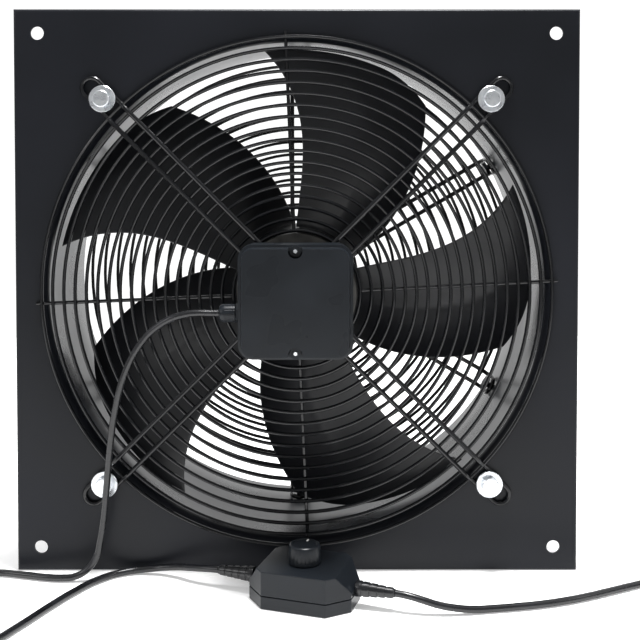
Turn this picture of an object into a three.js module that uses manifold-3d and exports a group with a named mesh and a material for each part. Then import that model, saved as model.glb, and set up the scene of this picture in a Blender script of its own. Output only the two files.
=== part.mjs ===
// Plate-mounted axial fan: a square wall plate with a short duct, an external-rotor motor hung
// from a wire grille, five sickle blades, a rear finger guard, a terminal box on the grille's
// hub, and an in-line speed controller with its motor lead and its supply lead.
//
// Units are millimetres. +X is right and +Z is up as the grille side is faced, and +Y runs
// through the wall. The origin is on the fan's axis, in the wall plane that the plate's folded
// rim bears on. Everything under the fan lies on the surface at z = -PLATE_SIDE / 2.

import * as THREE from "three";
import { mergeVertices } from "three/addons/utils/BufferGeometryUtils.js";
import Module from "manifold-3d";

const wasm = await Module();
wasm.setup();

// ---------------------------------------------------------------- driving dimensions

const GAP = 0.3; // between pieces that touch

const PLATE_SIDE = 470;
const PLATE_FOLD = 14; // depth of the folded edge
const SHEET = 2;
const CORNER_HOLE_PITCH = 430;
const CORNER_HOLE_R = 5.5;
const FRONT = -PLATE_FOLD; // the plate's front face
const FLOOR = -PLATE_SIDE / 2; // what the fan and its leads stand and lie on

const DUCT_R = 208.4; // inside
const DUCT_END = 124.7;
const MOUTH_R = 216; // bell mouth, at the plate's front face
const MOUTH_DEPTH = 8;
const ROUND = 48; // sides of the duct and the mouth

const GRILLE_RINGS = 18;
const GRILLE_OUTER_R = 212;
const GRILLE_INNER_R = 52.2;
const GRILLE_LIFT = 4; // from the plate's face to the outer ring's centre
const GRILLE_RISE = 6; // how far the hub end stands out past the rim
const RING_WIRE = 3;
const ARM_WIRE = 4;
const WELD = 1; // how far crossing wires sink into each other
const ARM_LIFT = (RING_WIRE + ARM_WIRE) / 2 - WELD; // the arms are welded on in front of the rings
const ARM_HALF_PITCH = 8; // half the distance between an arm's two wires
const ARM_END_R = 240; // centre of an arm's outer loop
const BOLT_R = 227; // pitch radius of the four grille bolts
const WASHER_THICK = 1.6;

const GUARD_RINGS = 15;
const GUARD_OUTER_R = 198;
const GUARD_INNER_R = 30;
const GUARD_Y = 114;
const GUARD_ARMS = 6;
const GUARD_ARM_HALF_PITCH = 7;
const GUARD_SCREW_Y = 94;
const WALL_CLEARANCE = 1; // between the guard's wires and the duct

const FLANGE_R = 50;
const FLANGE_THICK = 7;
const FLANGE_Y = -24.4; // its front face
const FLANGE_SCREW_R = 42;
const HUB_R = 14; // the flange's tube, which carries the stator
const HUB_END = 50;
const BEARING_R = 11;
const BEARING_WIDTH = 7;
const SHAFT_R = 4;
const STATOR_R = 38;
const STATOR_Y = -8;
const STATOR_LENGTH = 44;
const STATOR_SLOTS = 18;
const SLOT_START = 0.62; // where a slot begins, as a part of one slot pitch
const SLOT_DEPTH = 13;
const WINDING_DEPTH = 8;
const ROTOR_R = 52;
const ROTOR_WALL = 3;
const ROTOR_FRONT = -13;
const ROTOR_BACK = 66;

const BLADES = 5;
const BLADE_TIP_R = 204;
const BLADE_SHEET = 1.8;
const BLADE_FRONT = 8; // y of the leading edge
const BLADE_BACK = 62; // y of the trailing edge
const BLADE_CAMBER = 7;

const BOX_SIDE = 90;
const BOX_CORNER_R = 12;
const BOX_WALL = 3;
const LID_FACE = -79.5; // the lid's front face
const LID_DEPTH = 16;
const BOX_BACK = -32.6;
const LID_SCREW_Z = 40;
const GLAND_Y = -44;
const GLAND_Z = -13;
const GLAND_END_X = -62;
const BLOCK_Z = 22; // the terminal block's middle
const BLOCK_POLES = 6;
const POLE_PITCH = 8.4;
const CAPACITOR_Z = -21;

const LEAD_D = 5.5;
const LEAD_Z = FLOOR + LEAD_D / 2 + 0.2; // a lead's centre where it lies on the floor

const CONTROL_X = 7;
const CONTROL_Y = -69;
const CONTROL_TURN = -18; // degrees, about the vertical
const CONTROL_LENGTH = 84;
const CONTROL_DEPTH = 57;
const CONTROL_HEIGHT = 29;
const CONTROL_CHAMFER = 16;
const CONTROL_WALL = 2.5;
const END_SLOPE_START = 15; // height where the ends begin to slope in
const END_SLOPE_IN = 10;
const CONTROL_SPLIT = 10; // the base shell's height
const RELIEF_LENGTH = 31;
const RELIEF_Z = 14; // above the floor
const RELIEF_RIBS = 4;
const KNOB_R = 13;
const KNOB_HEIGHT = 15;
const SPINDLE_R = 3;
const POTENTIOMETER_R = 8;
const BOARD_TOP = 5.6;

const COIL_X = 335;
const COIL_Y = -73;
const COIL_R = 31.25; // middle of its turns
const COIL_TURNS_WIDE = 4;
const COIL_LAYERS = 2;
const PLUG_AXIS_Z = FLOOR + 11.5;
const PLUG_RELIEF_LENGTH = 22;
const PLUG_LENGTH = 34;
const PIN_LENGTH = 17;
const BLADE_PIN_X = 6.35;
const GROUND_PIN_Z = -6.9;

// ---------------------------------------------------------------- materials

const finish = (color, roughness, metalness) =>
  new THREE.MeshStandardMaterial({ color, roughness, metalness });

const powderCoat = finish(0x26282b, 0.45, 0.3);
const wireCoat = finish(0x17181a, 0.35, 0.3);
const bladePaint = finish(0x141517, 0.5, 0.2);
const zinc = finish(0xc9ccd0, 0.3, 1);
const blackScrew = finish(0x1a1a1c, 0.4, 0.7);
const castAluminium = finish(0xa8aaab, 0.5, 0.9);
const bearingSteel = finish(0xb4b6b9, 0.25, 1);
const coreSteel = finish(0x6d7074, 0.5, 0.8);
const copper = finish(0x9a5a32, 0.4, 0.8);
const boxPlastic = finish(0x2b2d30, 0.6, 0);
const sealRubber = finish(0x1c1c1d, 0.9, 0);
const terminalPlastic = finish(0xd8d6cc, 0.5, 0);
const capacitorPlastic = finish(0x3a3c40, 0.5, 0);
const leadPvc = finish(0x101112, 0.4, 0);
const boardGreen = finish(0x2f5b3a, 0.5, 0);
const brass = finish(0xb59a5a, 0.3, 1);

// ---------------------------------------------------------------- solids

// A closed three.js geometry as a manifold-3d solid.
function solid(geometry) {
  const bare = geometry.index ? geometry.toNonIndexed() : geometry.clone();
  bare.deleteAttribute("normal");
  bare.deleteAttribute("uv");
  const merged = mergeVertices(bare, 1e-4);
  return new wasm.Manifold(
    new wasm.Mesh({
      numProp: 3,
      vertProperties: merged.attributes.position.array,
      triVerts: new Uint32Array(merged.index.array),
    }),
  );
}

function geometryOf(body) {
  const mesh = body.getMesh();
  const geometry = new THREE.BufferGeometry();
  geometry.setAttribute(
    "position",
    new THREE.BufferAttribute(new Float32Array(mesh.vertProperties), 3),
  );
  geometry.setIndex(new THREE.BufferAttribute(new Uint32Array(mesh.triVerts), 1));
  return geometry.toNonIndexed();
}

const join = (bodies) => bodies.reduce((sum, body) => sum.add(body));
const cut = (body, cutters) => cutters.reduce((rest, cutter) => rest.subtract(cutter), body);
const rad = (degrees) => (degrees * Math.PI) / 180;

function box(x0, x1, y0, y1, z0, z1) {
  const geometry = new THREE.BoxGeometry(x1 - x0, y1 - y0, z1 - z0);
  return solid(geometry.translate((x0 + x1) / 2, (y0 + y1) / 2, (z0 + z1) / 2));
}

// A cylinder or a prism along Y, from y0 to y1.
function rodY(r, y0, y1, sides = 24, x = 0, z = 0) {
  const geometry = new THREE.CylinderGeometry(r, r, y1 - y0, sides);
  return solid(geometry.translate(x, (y0 + y1) / 2, z));
}

// A profile of [radius, y] pairs turned about the Y axis. Its area must run anticlockwise.
function turned(profile, sides) {
  const points = profile.map(([r, y]) => new THREE.Vector2(r, y));
  if (profile[0][0] > 0) points.push(points[0].clone());
  return solid(new THREE.LatheGeometry(points, sides));
}

// A square with rounded corners in the XZ plane, from y0 to y1.
function roundedBlock(side, corner, y0, y1, cornerSides = 4) {
  const h = side / 2;
  const shape = new THREE.Shape();
  shape.moveTo(-h + corner, -h);
  shape.lineTo(h - corner, -h);
  shape.absarc(h - corner, -h + corner, corner, -Math.PI / 2, 0, false);
  shape.lineTo(h, h - corner);
  shape.absarc(h - corner, h - corner, corner, 0, Math.PI / 2, false);
  shape.lineTo(-h + corner, h);
  shape.absarc(-h + corner, h - corner, corner, Math.PI / 2, Math.PI, false);
  shape.lineTo(-h, -h + corner);
  shape.absarc(-h + corner, -h + corner, corner, Math.PI, 1.5 * Math.PI, false);
  const options = { depth: y1 - y0, bevelEnabled: false, curveSegments: cornerSides };
  const geometry = new THREE.ExtrudeGeometry(shape, options);
  return solid(geometry.rotateX(Math.PI / 2).translate(0, y1, 0));
}

// A round wire or lead swept along a curve.
function swept(curve, r, sides, steps) {
  const shape = new THREE.Shape();
  for (let i = 0; i < sides; i++) {
    const a = (2 * Math.PI * (i + 0.5)) / sides;
    if (i === 0) shape.moveTo(r * Math.cos(a), r * Math.sin(a));
    else shape.lineTo(r * Math.cos(a), r * Math.sin(a));
  }
  const options = { steps, extrudePath: curve, bevelEnabled: false };
  return solid(new THREE.ExtrudeGeometry(shape, options));
}

// A wire ring about the Y axis.
function ring(r, wire, y, sides) {
  const geometry = new THREE.TorusGeometry(r, wire / 2, 3, sides);
  return solid(geometry.rotateX(Math.PI / 2).translate(0, y, 0));
}

const turnAboutY = (body, degrees) => body.rotate([0, degrees, 0]);

// ---------------------------------------------------------------- assembly

const fan = new THREE.Group();

function piece(name, body, material, parent = fan) {
  const mesh = new THREE.Mesh(geometryOf(body), material);
  mesh.name = name;
  parent.add(mesh);
  return mesh;
}

// A sheet-steel tray: flat face, folded edges, pressed bell mouth, four weld nuts at the back.
function wallPlate() {
  const h = PLATE_SIDE / 2;
  const tray = cut(box(-h, h, FRONT, 0, -h, h), [
    box(-h + SHEET, h - SHEET, FRONT + SHEET, 1, -h + SHEET, h - SHEET),
    rodY(MOUTH_R, FRONT - 1, 1, ROUND),
  ]);
  const lip = [];
  for (let i = 0; i <= 3; i++) {
    const a = (i / 3) * (Math.PI / 2);
    const r = MOUTH_R - (MOUTH_R - DUCT_R) * Math.sin(a);
    const y = FRONT + MOUTH_DEPTH * (1 - Math.cos(a));
    lip.push([r, y, a]);
  }
  const inner = lip.map(([r, y]) => [r, y]);
  const outer = lip.map(([r, y, a]) => [r + SHEET * Math.sin(a), y + SHEET * Math.cos(a)]);
  const mouth = turned(
    [[MOUTH_R + 3, FRONT + SHEET], ...outer, ...inner.reverse(), [MOUTH_R + 3, FRONT]],
    ROUND,
  );
  const at = BOLT_R * Math.SQRT1_2;
  const corner = CORNER_HOLE_PITCH / 2;
  const nuts = [];
  const holes = [];
  for (const x of [-1, 1]) {
    for (const z of [-1, 1]) {
      nuts.push(rodY(8, FRONT + SHEET / 2, FRONT + SHEET + 6, 6, x * at, z * at));
      holes.push(rodY(4.3, FRONT - 1, 0, 10, x * at, z * at));
      holes.push(rodY(CORNER_HOLE_R, FRONT - 1, 1, 16, x * corner, z * corner));
    }
  }
  return cut(join([tray, mouth, ...nuts]), holes);
}

// A rolled sheet tube, with a hole for each guard screw.
function ductTube() {
  const start = FRONT + MOUTH_DEPTH + GAP;
  const tube = turned(
    [
      [DUCT_R, start],
      [DUCT_R + SHEET, start],
      [DUCT_R + SHEET, DUCT_END],
      [DUCT_R, DUCT_END],
    ],
    ROUND,
  );
  const hole = rodY(3, DUCT_R - 6, DUCT_R + 6, 8).rotate([90, 0, 0]);
  return cut(
    tube,
    guardAngles().map((a) => turnAboutY(hole.translate([0, GUARD_SCREW_Y, 0]), a)),
  );
}

const armAngles = () => [45, 135, 225, 315];
const guardAngles = () => [...Array(GUARD_ARMS).keys()].map((i) => (i * 360) / GUARD_ARMS);
const ringSides = (r) => (r > 100 ? 24 : 16);

// Radii of evenly spaced rings. Every second one is a solid here, with the first and the last:
// the rest are the same wire, halfway between.
function ringRadii(outer, inner, count) {
  const last = count - 1;
  const all = [...Array(count).keys()].map((i) => outer + ((inner - outer) * i) / last);
  return all.filter((_, i) => i % 2 === 0 || i === last);
}

// How far forward a grille wire at radius r stands: the cage is a very shallow cone.
const grilleY = (r) =>
  FRONT - GRILLE_LIFT - (GRILLE_RISE * (GRILLE_OUTER_R - r)) / (GRILLE_OUTER_R - GRILLE_INNER_R);

// A wire bent into a closed loop through the points, square in section.
function closedWire(points, r) {
  const n = points.length;
  const sides = 4;
  const rows = [];
  let out = new THREE.Vector3(0, 1, 0);
  for (let i = 0; i < n; i++) {
    const tangent = points[(i + 1) % n].clone().sub(points[(i + n - 1) % n]).normalize();
    out = out.clone().addScaledVector(tangent, -out.dot(tangent)).normalize();
    const side = new THREE.Vector3().crossVectors(tangent, out);
    for (let k = 0; k < sides; k++) {
      const a = (2 * Math.PI * k) / sides;
      const corner = points[i].clone().addScaledVector(out, r * Math.cos(a));
      rows.push(corner.addScaledVector(side, r * Math.sin(a)));
    }
  }
  // The section comes back turned by some quarter turns, so the last row is joined to the first
  // by its nearest corners.
  const last = (n - 1) * sides;
  let shift = 0;
  for (let k = 1; k < sides; k++) {
    const nearer = rows[last + k].distanceTo(rows[0]) < rows[last + shift].distanceTo(rows[0]);
    if (nearer) shift = k;
  }
  const faces = [];
  for (let i = 0; i < n; i++) {
    const s = i === n - 1 ? shift : 0;
    const next = ((i + 1) % n) * sides;
    for (let k = 0; k < sides; k++) {
      const a = i * sides + ((k + s) % sides);
      const b = i * sides + ((k + 1 + s) % sides);
      const c = next + k;
      const d = next + ((k + 1) % sides);
      faces.push(a, b, c, b, d, c);
    }
  }
  return new wasm.Manifold(
    new wasm.Mesh({
      numProp: 3,
      vertProperties: new Float32Array(rows.flatMap((v) => [v.x, v.y, v.z])),
      triVerts: new Uint32Array(faces),
    }),
  );
}

// A double-wire arm in the YZ plane: out along one side of [radius, y] pairs, back along the other.
function doubleArm(path, halfPitch, endBulge, wire) {
  const first = path[0];
  const last = path[path.length - 1];
  const bend = (x, [r, y], dr, dy, t) =>
    new THREE.Vector3(x * Math.cos(t), y + dy * Math.sin(t), r + dr * Math.sin(t));
  const arc = [Math.PI / 4, Math.PI / 2, (3 * Math.PI) / 4];
  const points = path.map(([r, y]) => new THREE.Vector3(halfPitch, y, r));
  points.push(...arc.map((t) => bend(halfPitch, last, ...endBulge, t)));
  points.push(...[...path].reverse().map(([r, y]) => new THREE.Vector3(-halfPitch, y, r)));
  points.push(...arc.map((t) => bend(-halfPitch, first, -halfPitch, 0, t)));
  return closedWire(points, wire / 2);
}

// Welded wire: rings on a shallow cone, four looped arms to the bolts and four single spokes.
function frontGrille() {
  const radii = ringRadii(GRILLE_OUTER_R, GRILLE_INNER_R, GRILLE_RINGS);
  const wires = radii.map((r) => ring(r, RING_WIRE, grilleY(r), ringSides(r)));
  const seat = FRONT - ARM_WIRE / 2 - GAP;
  const path = [FLANGE_SCREW_R, 100, 156, GRILLE_OUTER_R - 5].map((r) => [r, grilleY(r) - ARM_LIFT]);
  path.push([GRILLE_OUTER_R + 2, seat], [ARM_END_R, seat]);
  const arm = doubleArm(path, ARM_HALF_PITCH, [ARM_HALF_PITCH, 0], ARM_WIRE);
  for (const a of armAngles()) wires.push(turnAboutY(arm, a));
  const inner = GRILLE_INNER_R - 1;
  const spoke = swept(
    new THREE.LineCurve3(
      new THREE.Vector3(0, grilleY(inner) + RING_WIRE - WELD, inner),
      new THREE.Vector3(0, grilleY(GRILLE_OUTER_R) + RING_WIRE - WELD, GRILLE_OUTER_R + 5),
    ),
    RING_WIRE / 2,
    4,
    1,
  );
  for (const a of [0, 90, 180, 270]) wires.push(turnAboutY(spoke, a - 2.5));
  return join(wires);
}

// Flat concentric rings with six looped arms, whose ends turn forward against the duct wall.
function rearGuard() {
  const radii = ringRadii(GUARD_OUTER_R, GUARD_INNER_R, GUARD_RINGS);
  const wires = radii.map((r) => ring(r, RING_WIRE, GUARD_Y, ringSides(r)));
  const wallR = DUCT_R - ARM_WIRE / 2 - WALL_CLEARANCE;
  const armY = GUARD_Y - ARM_LIFT;
  const path = [
    [GUARD_INNER_R, armY],
    [wallR - 11, armY],
    [wallR - 3, armY - 3],
    [wallR, armY - 11],
    [wallR, GUARD_SCREW_Y - 3],
  ];
  const arm = doubleArm(path, GUARD_ARM_HALF_PITCH, [0, -GUARD_ARM_HALF_PITCH], ARM_WIRE);
  for (const a of guardAngles()) wires.push(turnAboutY(arm, a));
  return join(wires);
}

// A zinc-plated hex bolt with a plain shank, its head at the front.
function grilleBolt() {
  const under = FRONT - GAP - ARM_WIRE - WASHER_THICK - 2 * GAP;
  return join([rodY(7.5, under - 5.5, under, 6), rodY(3.9, under - 1, FRONT + 9, 12)]);
}

function grilleWasher() {
  const back = FRONT - GAP - ARM_WIRE - GAP;
  return cut(rodY(11, back - WASHER_THICK, back, 20), [rodY(4.3, back - 5, back + 5, 12)]);
}

// A cross-head screw through the duct wall, with its nut and washer inside. It lies along -Z.
function guardScrew() {
  const head = rodY(5, DUCT_R + SHEET + GAP, DUCT_R + SHEET + 3.5, 12);
  const wires = DUCT_R - WALL_CLEARANCE - ARM_WIRE - GAP;
  const shank = rodY(2.6, wires - 3.4, DUCT_R + SHEET + 1, 8);
  const nut = rodY(7, wires - 3.4, wires, 6);
  return join([head, shank, nut]).rotate([90, 0, 0]).translate([0, GUARD_SCREW_Y, 0]);
}

// The motor's end shield: a cast disc behind the grille's arms, with the tube the stator sits on.
function motorFlange() {
  const back = FLANGE_Y + FLANGE_THICK;
  const bore = BEARING_R + GAP;
  const body = turned(
    [
      [12, FLANGE_Y],
      [FLANGE_R - 2, FLANGE_Y],
      [FLANGE_R, FLANGE_Y + 2],
      [FLANGE_R, back],
      [HUB_R, back],
      [HUB_R, HUB_END],
      [bore, HUB_END],
      [bore, HUB_END - BEARING_WIDTH - 1],
      [BEARING_R - 2, HUB_END - BEARING_WIDTH - 1],
      [BEARING_R - 2, back + BEARING_WIDTH],
      [bore, back + BEARING_WIDTH],
      [bore, FLANGE_Y + 4],
    ],
    24,
  );
  return cut(
    body,
    armAngles().map((a) => turnAboutY(rodY(2.6, FLANGE_Y - 1, back + 1, 8, 0, FLANGE_SCREW_R), a)),
  );
}

// A washer-head screw through an arm's inner loop.
function flangeScrew() {
  const under = grilleY(FLANGE_SCREW_R) - ARM_LIFT - ARM_WIRE / 2 - GAP;
  const back = FLANGE_Y + FLANGE_THICK - 1;
  return join([
    rodY(9.5, under - 1.2, under, 12, 0, FLANGE_SCREW_R),
    rodY(5, under - 2.6, under - 1, 6, 0, FLANGE_SCREW_R),
    rodY(2.2, under - 1, back, 8, 0, FLANGE_SCREW_R),
  ]);
}

function bearing(y) {
  const inner = SHAFT_R + GAP;
  return turned(
    [
      [inner, y],
      [BEARING_R, y],
      [BEARING_R, y + BEARING_WIDTH],
      [inner, y + BEARING_WIDTH],
    ],
    20,
  );
}

// Laminated steel core with open slots round its rim.
function statorCore() {
  const shape = new THREE.Shape();
  for (let i = 0; i < STATOR_SLOTS; i++) {
    const step = (2 * Math.PI) / STATOR_SLOTS;
    const corners = [
      [STATOR_R, 0],
      [STATOR_R, SLOT_START],
      [STATOR_R - SLOT_DEPTH, SLOT_START],
      [STATOR_R - SLOT_DEPTH, 1],
    ];
    for (const [r, part] of corners) {
      const a = (i + part) * step;
      if (i === 0 && part === 0) shape.moveTo(r, 0);
      else shape.lineTo(r * Math.cos(a), r * Math.sin(a));
    }
  }
  const options = { depth: STATOR_LENGTH, bevelEnabled: false };
  const core = new THREE.ExtrudeGeometry(shape, options);
  const body = solid(core.rotateX(Math.PI / 2).translate(0, STATOR_Y + STATOR_LENGTH, 0));
  return cut(body, [rodY(HUB_R + GAP, STATOR_Y - 1, STATOR_Y + STATOR_LENGTH + 1, 24)]);
}

// The winding: bundles of enamelled wire round both ends of the core, joined through its slots.
function statorWinding() {
  const end = (y, depth) =>
    turned(
      [
        [20, y],
        [33, y],
        [36, y + depth / 3],
        [36, y + (2 * depth) / 3],
        [33, y + depth],
        [20, y + depth],
      ],
      20,
    );
  const front = STATOR_Y - GAP - WINDING_DEPTH;
  const rear = STATOR_Y + STATOR_LENGTH + GAP;
  const bars = [];
  for (let i = 0; i < STATOR_SLOTS; i++) {
    const middle = ((i + (1 + SLOT_START) / 2) * 360) / STATOR_SLOTS;
    const bar = box(STATOR_R - SLOT_DEPTH + 1, STATOR_R - 4, front + 2, rear + 2, -1, 1);
    bars.push(turnAboutY(bar, -middle));
  }
  return join([end(front, WINDING_DEPTH), end(rear, WINDING_DEPTH + 2), ...bars]);
}

// A drawn steel cup that turns round the stator and carries the blades.
function rotorShell() {
  return turned(
    [
      [SHAFT_R + GAP, ROTOR_BACK - ROTOR_WALL],
      [ROTOR_R - ROTOR_WALL - 4, ROTOR_BACK - ROTOR_WALL],
      [ROTOR_R - ROTOR_WALL, ROTOR_BACK - ROTOR_WALL - 4],
      [ROTOR_R - ROTOR_WALL, ROTOR_FRONT],
      [ROTOR_R, ROTOR_FRONT],
      [ROTOR_R, ROTOR_BACK - 6],
      [ROTOR_R - 6, ROTOR_BACK],
      [SHAFT_R + GAP, ROTOR_BACK],
    ],
    40,
  );
}

function rotorCage() {
  const outer = ROTOR_R - ROTOR_WALL - GAP;
  return turned(
    [
      [STATOR_R + 0.6, STATOR_Y],
      [outer, STATOR_Y],
      [outer, STATOR_Y + STATOR_LENGTH],
      [STATOR_R + 0.6, STATOR_Y + STATOR_LENGTH],
    ],
    40,
  );
}

function motorShaft() {
  return turned(
    [
      [0, FLANGE_Y + 5],
      [SHAFT_R, FLANGE_Y + 5],
      [SHAFT_R, ROTOR_BACK + 1],
      [SHAFT_R + 3, ROTOR_BACK + 1],
      [SHAFT_R + 3, ROTOR_BACK + 4],
      [0, ROTOR_BACK + 4],
    ],
    16,
  );
}

// Polar angles, seen from the grille side and counted anticlockwise from +X, of the first
// blade's two edges: a hollow leading edge and a nearly straight trailing edge.
const leadingAngle = (r) => 159.7 + 0.0011 * (r - 108) ** 2;
const trailingAngle = (r) => 95 + 0.2175 * (r - ROTOR_R);

// A point on the blade's middle surface: u runs from root to tip, c from leading to trailing edge.
function bladePoint(u, c) {
  const root = ROTOR_R + 2 * GAP;
  const tip = BLADE_TIP_R - 9 * Math.max(0, (c - 0.7) / 0.3) ** 2;
  const r = root + (tip - root) * u;
  const a = rad(leadingAngle(r) + (trailingAngle(r) - leadingAngle(r)) * c);
  const y = BLADE_FRONT + (BLADE_BACK - BLADE_FRONT) * c - BLADE_CAMBER * Math.sin(Math.PI * c);
  return new THREE.Vector3(r * Math.cos(a), y, r * Math.sin(a));
}

function blade() {
  const rows = 6;
  const columns = 8;
  const faces = [];
  const vertices = [];
  const step = 0.01;
  for (const side of [-1, 1]) {
    for (let i = 0; i <= rows; i++) {
      for (let j = 0; j <= columns; j++) {
        const u = i / rows;
        const c = j / columns;
        const p = bladePoint(u, c);
        const alongU = bladePoint(u + step, c).sub(bladePoint(u - step, c));
        const alongC = bladePoint(u, c + step).sub(bladePoint(u, c - step));
        const normal = alongU.cross(alongC).normalize();
        const half = j === 0 || j === columns ? BLADE_SHEET / 3 : BLADE_SHEET / 2;
        const q = p.addScaledVector(normal, side * half);
        vertices.push(q.x, q.y, q.z);
      }
    }
  }
  const wide = columns + 1;
  const sheet = wide * (rows + 1);
  const at = (i, j, side) => i * wide + j + side * sheet;
  const quad = (a, b, c, d) => faces.push(a, b, c, a, c, d);
  for (let i = 0; i < rows; i++) {
    for (let j = 0; j < columns; j++) {
      quad(at(i, j, 1), at(i + 1, j, 1), at(i + 1, j + 1, 1), at(i, j + 1, 1));
      quad(at(i, j, 0), at(i, j + 1, 0), at(i + 1, j + 1, 0), at(i + 1, j, 0));
    }
    quad(at(i, 0, 0), at(i + 1, 0, 0), at(i + 1, 0, 1), at(i, 0, 1));
    quad(at(i, columns, 1), at(i + 1, columns, 1), at(i + 1, columns, 0), at(i, columns, 0));
  }
  for (let j = 0; j < columns; j++) {
    quad(at(0, j, 1), at(0, j + 1, 1), at(0, j + 1, 0), at(0, j, 0));
    quad(at(rows, j, 0), at(rows, j + 1, 0), at(rows, j + 1, 1), at(rows, j, 1));
  }
  return new wasm.Manifold(
    new wasm.Mesh({
      numProp: 3,
      vertProperties: new Float32Array(vertices),
      triVerts: new Uint32Array(faces),
    }),
  );
}

// ---- terminal box, on the grille's hub

const lidBack = LID_FACE + LID_DEPTH;
const gasketBack = lidBack + GAP + 1;
const baseFront = gasketBack + GAP;
const baseSide = BOX_SIDE - 4;
const baseCorner = BOX_CORNER_R - 2;

function terminalBoxBase() {
  const inner = baseSide - 2 * BOX_WALL;
  const shell = cut(roundedBlock(baseSide, baseCorner, baseFront, BOX_BACK), [
    roundedBlock(inner, baseCorner - BOX_WALL, baseFront - 1, BOX_BACK - BOX_WALL),
  ]);
  const boss = rodY(24, BOX_BACK - 1, FLANGE_Y - GAP, 24);
  const posts = [-1, 1].map((side) => rodY(4.5, baseFront, BOX_BACK - 1, 10, 0, side * 37.5));
  const glandHole = rodY(6.3, -baseSide / 2 - 1, -baseSide / 2 + BOX_WALL + 1, 12)
    .rotate([0, 0, -90])
    .translate([0, GLAND_Y, GLAND_Z]);
  const pilots = [-1, 1].map((side) => rodY(1.8, baseFront - 1, BOX_BACK - 8, 8, 0, side * LID_SCREW_Z));
  return cut(join([shell, boss, ...posts]), [
    glandHole,
    rodY(9, BOX_BACK - BOX_WALL - 1, FLANGE_Y, 16),
    ...pilots,
  ]);
}

function terminalBoxGasket() {
  const outer = roundedBlock(baseSide - 1, baseCorner - 0.5, lidBack + GAP, gasketBack);
  const inner = roundedBlock(baseSide - 9, baseCorner - 4, lidBack, gasketBack + 1);
  const pads = [-1, 1].map((side) => rodY(5, lidBack + GAP, gasketBack, 12, 0, side * (LID_SCREW_Z - 1.5)));
  const holes = [-1, 1].map((side) => rodY(2.4, lidBack, gasketBack + 1, 8, 0, side * LID_SCREW_Z));
  return cut(join([cut(outer, [inner]), ...pads]), holes);
}

// A shallow moulded cap: a raised flat face inside a sloping rim, with a round notch at the top
// and at the bottom for its screws.
function terminalBoxLid() {
  const rim = roundedBlock(BOX_SIDE, BOX_CORNER_R, lidBack - 9, lidBack);
  const faceSide = BOX_SIDE - 6;
  const face = roundedBlock(faceSide, BOX_CORNER_R - 3, LID_FACE, lidBack);
  const inner = BOX_SIDE - 2 * BOX_WALL - 4;
  const cavity = roundedBlock(inner, BOX_CORNER_R - 4, LID_FACE + BOX_WALL, lidBack + 1);
  const sides = [-1, 1];
  const notch = (side) =>
    join([
      rodY(5.5, LID_FACE - 1, LID_FACE + 6, 16, 0, side * LID_SCREW_Z),
      box(-5.5, 5.5, LID_FACE - 1, LID_FACE + 6, side > 0 ? LID_SCREW_Z : -BOX_SIDE, side > 0 ? BOX_SIDE : -LID_SCREW_Z),
    ]);
  const pillars = sides.map((side) => rodY(6.5, LID_FACE + 2, lidBack, 12, 0, side * (LID_SCREW_Z - 1)));
  const body = join([cut(join([rim, face]), [cavity]), ...pillars]);
  const holes = sides.map((side) => rodY(2.2, LID_FACE, lidBack + 1, 8, 0, side * LID_SCREW_Z));
  const trimmed = body.intersect(roundedBlock(BOX_SIDE, BOX_CORNER_R, LID_FACE, lidBack));
  return cut(trimmed, [...sides.map(notch), ...holes]);
}

function lidScrew(side) {
  const z = side * LID_SCREW_Z;
  const seat = LID_FACE + 6 - GAP;
  return join([rodY(3.6, seat - 2.4, seat, 10, 0, z), rodY(1.5, seat - 1, BOX_BACK - 10, 8, 0, z)]);
}

function terminalBlock() {
  const back = BOX_BACK - BOX_WALL - GAP;
  const body = box(-26, 26, back - 15, back, BLOCK_Z - 8, BLOCK_Z + 8);
  const poles = [...Array(BLOCK_POLES).keys()].map((i) => (i - (BLOCK_POLES - 1) / 2) * POLE_PITCH);
  return cut(
    body,
    poles.map((x) => rodY(2.4, back - 16, back - 5, 8, x, BLOCK_Z)),
  );
}

function runCapacitor() {
  const back = BOX_BACK - BOX_WALL - GAP;
  const can = box(-22, 26, back - 18, back, CAPACITOR_Z - 10, CAPACITOR_Z + 10);
  return cut(can, [box(18, 27, back - 19, back - 14, CAPACITOR_Z - 11, CAPACITOR_Z + 11)]);
}

function glandBody() {
  const out = -baseSide / 2 - GAP;
  const hex = rodY(8, out - 5.5, out, 6);
  const stub = rodY(5.9, out - 1, out + BOX_WALL + 6, 12);
  const body = cut(join([hex, stub]), [rodY(LEAD_D / 2 + GAP, out - 10, out + 20, 12)]);
  return body.rotate([0, 0, -90]).translate([0, GLAND_Y, GLAND_Z]);
}

function glandNut() {
  const start = -baseSide / 2 - 2 * GAP - 5.5;
  const end = GLAND_END_X;
  const body = turned(
    [
      [LEAD_D / 2 + GAP, end],
      [5, end],
      [7.4, end + 5],
      [7.4, start],
      [LEAD_D / 2 + GAP, start],
    ],
    12,
  );
  return body.rotate([0, 0, -90]).translate([0, GLAND_Y, GLAND_Z]);
}

// ---- speed controller, in its own frame: long along X, standing on z = 0

function octagon(length, depth, chamfer, z0, z1) {
  const x = length / 2;
  const y = depth / 2;
  const corners = [
    [-x + chamfer, -y],
    [x - chamfer, -y],
    [x, -y + chamfer],
    [x, y - chamfer],
    [x - chamfer, y],
    [-x + chamfer, y],
    [-x, y - chamfer],
    [-x, -y + chamfer],
  ];
  const shape = new THREE.Shape(corners.map(([a, b]) => new THREE.Vector2(a, b)));
  const geometry = new THREE.ExtrudeGeometry(shape, { depth: z1 - z0, bevelEnabled: false });
  return solid(geometry.translate(0, 0, z0));
}

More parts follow.
